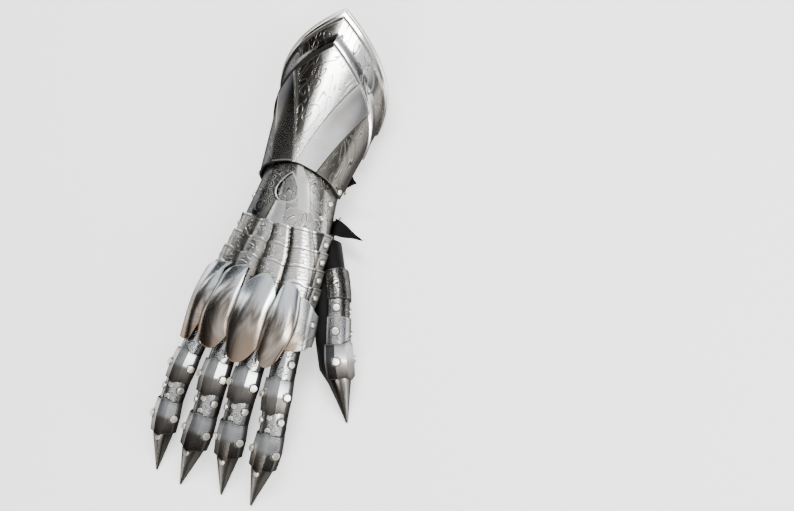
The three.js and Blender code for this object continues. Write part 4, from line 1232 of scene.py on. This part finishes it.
# The end of a finger's leather: place and girth
FINGER_TAPER = [(0, 1), (0.25, 1), (0.5, 1), (0.7, 1), (0.9, 0.98), (0.95, 0.93), (0.98, 0.8), (1, 0.45)]


def underside(y):
    """How high the leather lies over the floor, where the straps pass under it."""
    return STRAP_BED * smooth((y - PALM_END_HAND) / (PALM_END_WRIST - PALM_END_HAND))


def glove_skin(turn, y, grow):
    """A point of the hand's leather, grown outwards, flat where it rests."""
    centre, half, top, square = section(y)
    over = math.cos(turn) >= 0
    power = 2 / (square if over else 3.2)
    reach = top - WAIST + grow if over else WAIST + 1.5 + grow
    z = WAIST + reach * powered(math.cos(turn), power)
    lowest = max(underside(y) - grow, 0)
    return Vector((centre + (half + grow) * powered(math.sin(turn), power), y, max(z, lowest)))


def glove_loft(ys, grow):
    turns = [-2 * math.pi * i / GLOVE_SIDES for i in range(GLOVE_SIDES)]
    return rings_mesh([[glove_skin(turn, y, grow) for turn in turns] for y in ys])


def thumb_loft():
    """The thumb's leather, flat where it rests."""
    rings = []
    for at, girth, pad in THUMB_RINGS:
        ring = []
        for i in range(TUBE_SIDES):
            turn = -2 * math.pi * i / TUBE_SIDES
            palm = max(0, -math.cos(turn) - 0.5) / 0.5
            point = round_path(thumb_path, turn, at, THUMB_LEATHER * girth * (1 + (pad - 1) * palm))
            point.z = max(point.z, 0)
            ring.append(point)
        rings.append(ring)
    return rings_mesh(rings)


def make_glove():
    """Hand, thumb and fingers of leather, melted into one skin and hollow from the rear."""
    body = Build()
    ys = list(np.linspace(SLEEVE_REAR, HAND_FRONT, 60))
    body.add(*glove_loft(ys, 0))
    body.add(*thumb_loft())
    for name, (_, _, _, girth) in FINGERS.items():
        path = finger_path(name)
        rings = []
        for share, size in FINGER_TAPER:
            s = mix(-0.05, LEATHER_END, share)
            wrinkle = 1 + 0.015 * math.sin(share * 40)
            ring = []
            for i in range(TUBE_SIDES):
                turn = -2 * math.pi * i / TUBE_SIDES
                low = smooth((-math.cos(turn) + 0.10) / 0.35)
                wide = 1 + 0.42 * low * abs(math.sin(turn)) ** 1.5 * (1 if share < 0.99 else 0.3)
                ring.append(round_path(path, turn, s, FINGER_LEATHER * girth * size * wrinkle * wide))
            rings.append(ring)
        body.add(*rings_mesh(rings))
    obj = body.finish("leather_glove", [BLACK_LEATHER], sharp=180)
    remesh = obj.modifiers.new("remesh", "REMESH")
    remesh.mode = "VOXEL"
    remesh.voxel_size = GLOVE_VOXEL / 1000
    remesh.use_smooth_shade = True
    ease = obj.modifiers.new("ease", "SMOOTH")
    ease.factor = 0.5
    ease.iterations = 3
    hollow = Build()
    hollow.add(*glove_loft([SLEEVE_REAR + 3] + ys[1:-1] + [HAND_FRONT + LEATHER], -LEATHER))
    inner = hollow.finish("glove_hollow", [BLACK_LEATHER])
    cut_away(obj, inner)
    obj.data.materials.clear()
    obj.data.materials.append(BLACK_LEATHER)
    obj.data.polygons.foreach_set("use_smooth", [True] * len(obj.data.polygons))
    nodes = ["glove_hand", "glove_thumb", "glove_sleeve"] + [f"glove_{name}" for name in FINGERS]
    hand_over(obj, "hide", *nodes)


# Straps and buckles

# Place along the hand, length of the free tongue, its rise, its sweep and its bend
STRAPS = {
    "wrist": (-0.125 * HAND_LENGTH, 32, 0.30, -0.25, 1.5),
    "forearm": (CUFF_FRONT + 0.075 * CUFF_LENGTH, 9, 0.02, -0.05, 0.4),
}
TONGUE_WIDTHS = [1, 0.78, 0.34, 0.06]


def make_strap(name):
    """A strap round the leather with a free tongue; gives the two points its buckle lies between."""
    y, tongue, rise, sweep, bend = STRAPS[name]
    skin = STRAP_SLACK + STRAP_THICK
    around = [glove_skin(d * DEG, y, skin) for d in spaced((240, 40), (100, 0))]
    low, high = (glove_skin(d * DEG, y, skin) for d in (120, 100))
    away = Vector((1, sweep, rise)).normalized()
    runs = np.linspace(0.08, 1, 16)
    points = around + [high + away * (tongue * t) + Vector((0, 0, bend * (1 - t))) for t in runs]
    half = STRAP_WIDTH / 2
    halves = [half] * len(around) + [half * through([0, 0.33, 0.67, 1], TONGUE_WIDTHS, t) for t in runs]
    last = len(points) - 1

    def surface(u, v):
        k = int(clamp(math.floor(v), 0, last - 1))
        t = v - k
        point = points[k].lerp(points[k + 1], t)
        return point + Vector((0, u * mix(halves[k], halves[k + 1], t), 0))

    build = Build()
    shell(build, surface, spaced((-1, 10), (1, 0)), spaced((0, last), (last, 0)), STRAP_THICK)
    deliver(build, f"strap_{name}", "hide", [BLACK_LEATHER], sharp=50, bevel=0.5)
    return low, high


def make_buckle(name, low, high):
    """A frame with rounded corners, and its prong."""
    along = (high - low).normalized()
    side = Vector((0, 1, 0))
    out = Vector((along.z, 0, -along.x))
    centre = low.lerp(high, 0.28) + out * (SEAT + BUCKLE_BAR / 2)
    corner = 2.1
    reach = (BUCKLE_REACH - BUCKLE_BAR) / 2 - corner
    breadth = (STRAP_WIDTH + 7 - BUCKLE_BAR) / 2 - corner
    rings = []
    for cx, cy, first in ((1, 1, 0), (-1, 1, 90), (-1, -1, 180), (1, -1, 270)):
        for d in range(0, 91, 15):
            a = (first + d) * DEG
            radial = along * math.cos(a) + side * math.sin(a)
            at = centre + along * (cx * reach) + side * (cy * breadth) + radial * corner
            rings.append(ring_round(at, radial, out, BUCKLE_BAR / 2, 12))
    points, faces = rings_mesh(rings, close_start=False, close_end=False)
    last = len(points) - 12
    faces += [(last + i, last + (i + 1) % 12, (i + 1) % 12, i) for i in range(12)]
    build = Build()
    build.add(points, faces)
    deliver(build, f"buckle_{name}", "buckle_steel", [RIVET_LOOK], sharp=60)

    build = Build()
    at = centre + out * ((BUCKLE_BAR + PRONG) / 2 + 0.3)
    rings = [ring_round(at + along * (BUCKLE_REACH * t), side, out, PRONG / 2 * (1 - 0.35 * (t + 0.5)), 12)
             for t in np.linspace(-0.5, 0.5, 9)]
    build.add(*rings_mesh(rings))
    deliver(build, f"prong_{name}", "buckle_steel", [RIVET_LOOK], sharp=60)


for number in range(4):
    make_lame(number)
make_wrist_lame()
make_wrist_plate()
make_knuckle_plate()
make_cuff()
make_fingers()
make_thumb()
make_glove()
for strap_name in STRAPS:
    make_buckle(strap_name, *make_strap(strap_name))

# Floor, light and camera

floor_material, floor_graph, floor_shader = new_material("pale_floor")
floor_shader.inputs["Roughness"].default_value = 0.7
floor_shader.inputs["Emission Color"].default_value = (1, 1, 1, 1)
floor_shader.inputs["Emission Strength"].default_value = 0.8
cloud = floor_graph.put("TexNoise", None, Scale=6.0, Detail=3.0).outputs["Fac"]
shade = floor_graph.blend(cloud, (0.95, 0.95, 0.95, 1), (0.98, 0.98, 0.98, 1))
floor_graph.join(shade, floor_shader.inputs["Base Color"])
mesh = bpy.data.meshes.new("floor")
mesh.from_pydata([(-4, -4, 0), (4, -4, 0), (4, 4, 0), (-4, 4, 0)], [], [(0, 1, 2, 3)])
mesh.materials.append(floor_material)
floor = bpy.data.objects.new("floor", mesh)
bpy.context.scene.collection.objects.link(floor)

world = bpy.data.worlds.new("studio")
world.use_nodes = True
bpy.context.scene.world = world
sky = Graph(world.node_tree)
background = next(n for n in sky.tree.nodes if n.type == "BACKGROUND")
# The sky is brightest about one direction
SKY_AXIS = (0.33, -0.08, 0.94)
direction = sky.put("TexCoord").outputs["Generated"]
toward = sky.vector("DOT_PRODUCT", direction, SKY_AXIS, output="Value")
brightness = sky.colours(toward, [
    (0.0, (0.03, 0.03, 0.03)), (0.35, (0.035, 0.035, 0.04)), (0.62, (0.16, 0.165, 0.175)),
    (0.82, (0.80, 0.82, 0.85)), (1.0, (1.0, 1.0, 1.0)),
])
sky.join(brightness, background.inputs["Color"])
background.inputs["Strength"].default_value = 1.15


def softbox(name, location, target, size, power, colour=(1, 1, 1)):
    """A rectangle of light, aimed at the target."""
    light = bpy.data.lights.new(name, "AREA")
    light.shape = "RECTANGLE"
    light.size, light.size_y = size
    light.energy = power
    light.color = colour
    obj = bpy.data.objects.new(name, light)
    obj.location = location
    obj.rotation_euler = (Vector(target) - Vector(location)).to_track_quat("-Z", "Y").to_euler()
    bpy.context.scene.collection.objects.link(obj)


softbox("top_box", (-0.1, 0.75, 1.25), (0, 0, 0), (0.8, 0.35), 24)
softbox("left_box", (-1.1, 0.1, 0.75), (0, 0, 0), (0.12, 1.2), 1.6, (0.95, 0.98, 1))
softbox("right_box", (1.2, -0.1, 0.8), (0, 0, 0), (0.35, 1.3), 20, (1, 0.99, 0.97))
softbox("front_box", (0.1, -1.1, 0.9), (0, -0.1, 0), (0.6, 0.16), 12, (1, 0.93, 0.86))

# The photo's view: focal length in its pixels, its width, and the camera's place in millimetres
FOCAL_PIXELS = 960
PHOTO_WIDTH = 794
CAMERA_PLACE = Vector((292.2, -201.2, 793.7))
camera = bpy.data.cameras.new("camera")
camera.sensor_width = 36
camera.lens = camera.sensor_width * FOCAL_PIXELS / PHOTO_WIDTH
camera.clip_end = 20
view = bpy.data.objects.new("camera", camera)
right = (0.9405, 0.2994, -0.1604)
upward = (-0.2506, 0.9304, 0.2674)
backward = (0.2293, -0.2113, 0.9501)
turn = Matrix((right, upward, backward)).transposed()
view.matrix_world = Matrix.Translation((CAMERA_PLACE + OFFSET) / 1000) @ turn.to_4x4()
bpy.context.scene.collection.objects.link(view)
bpy.context.scene.camera = view
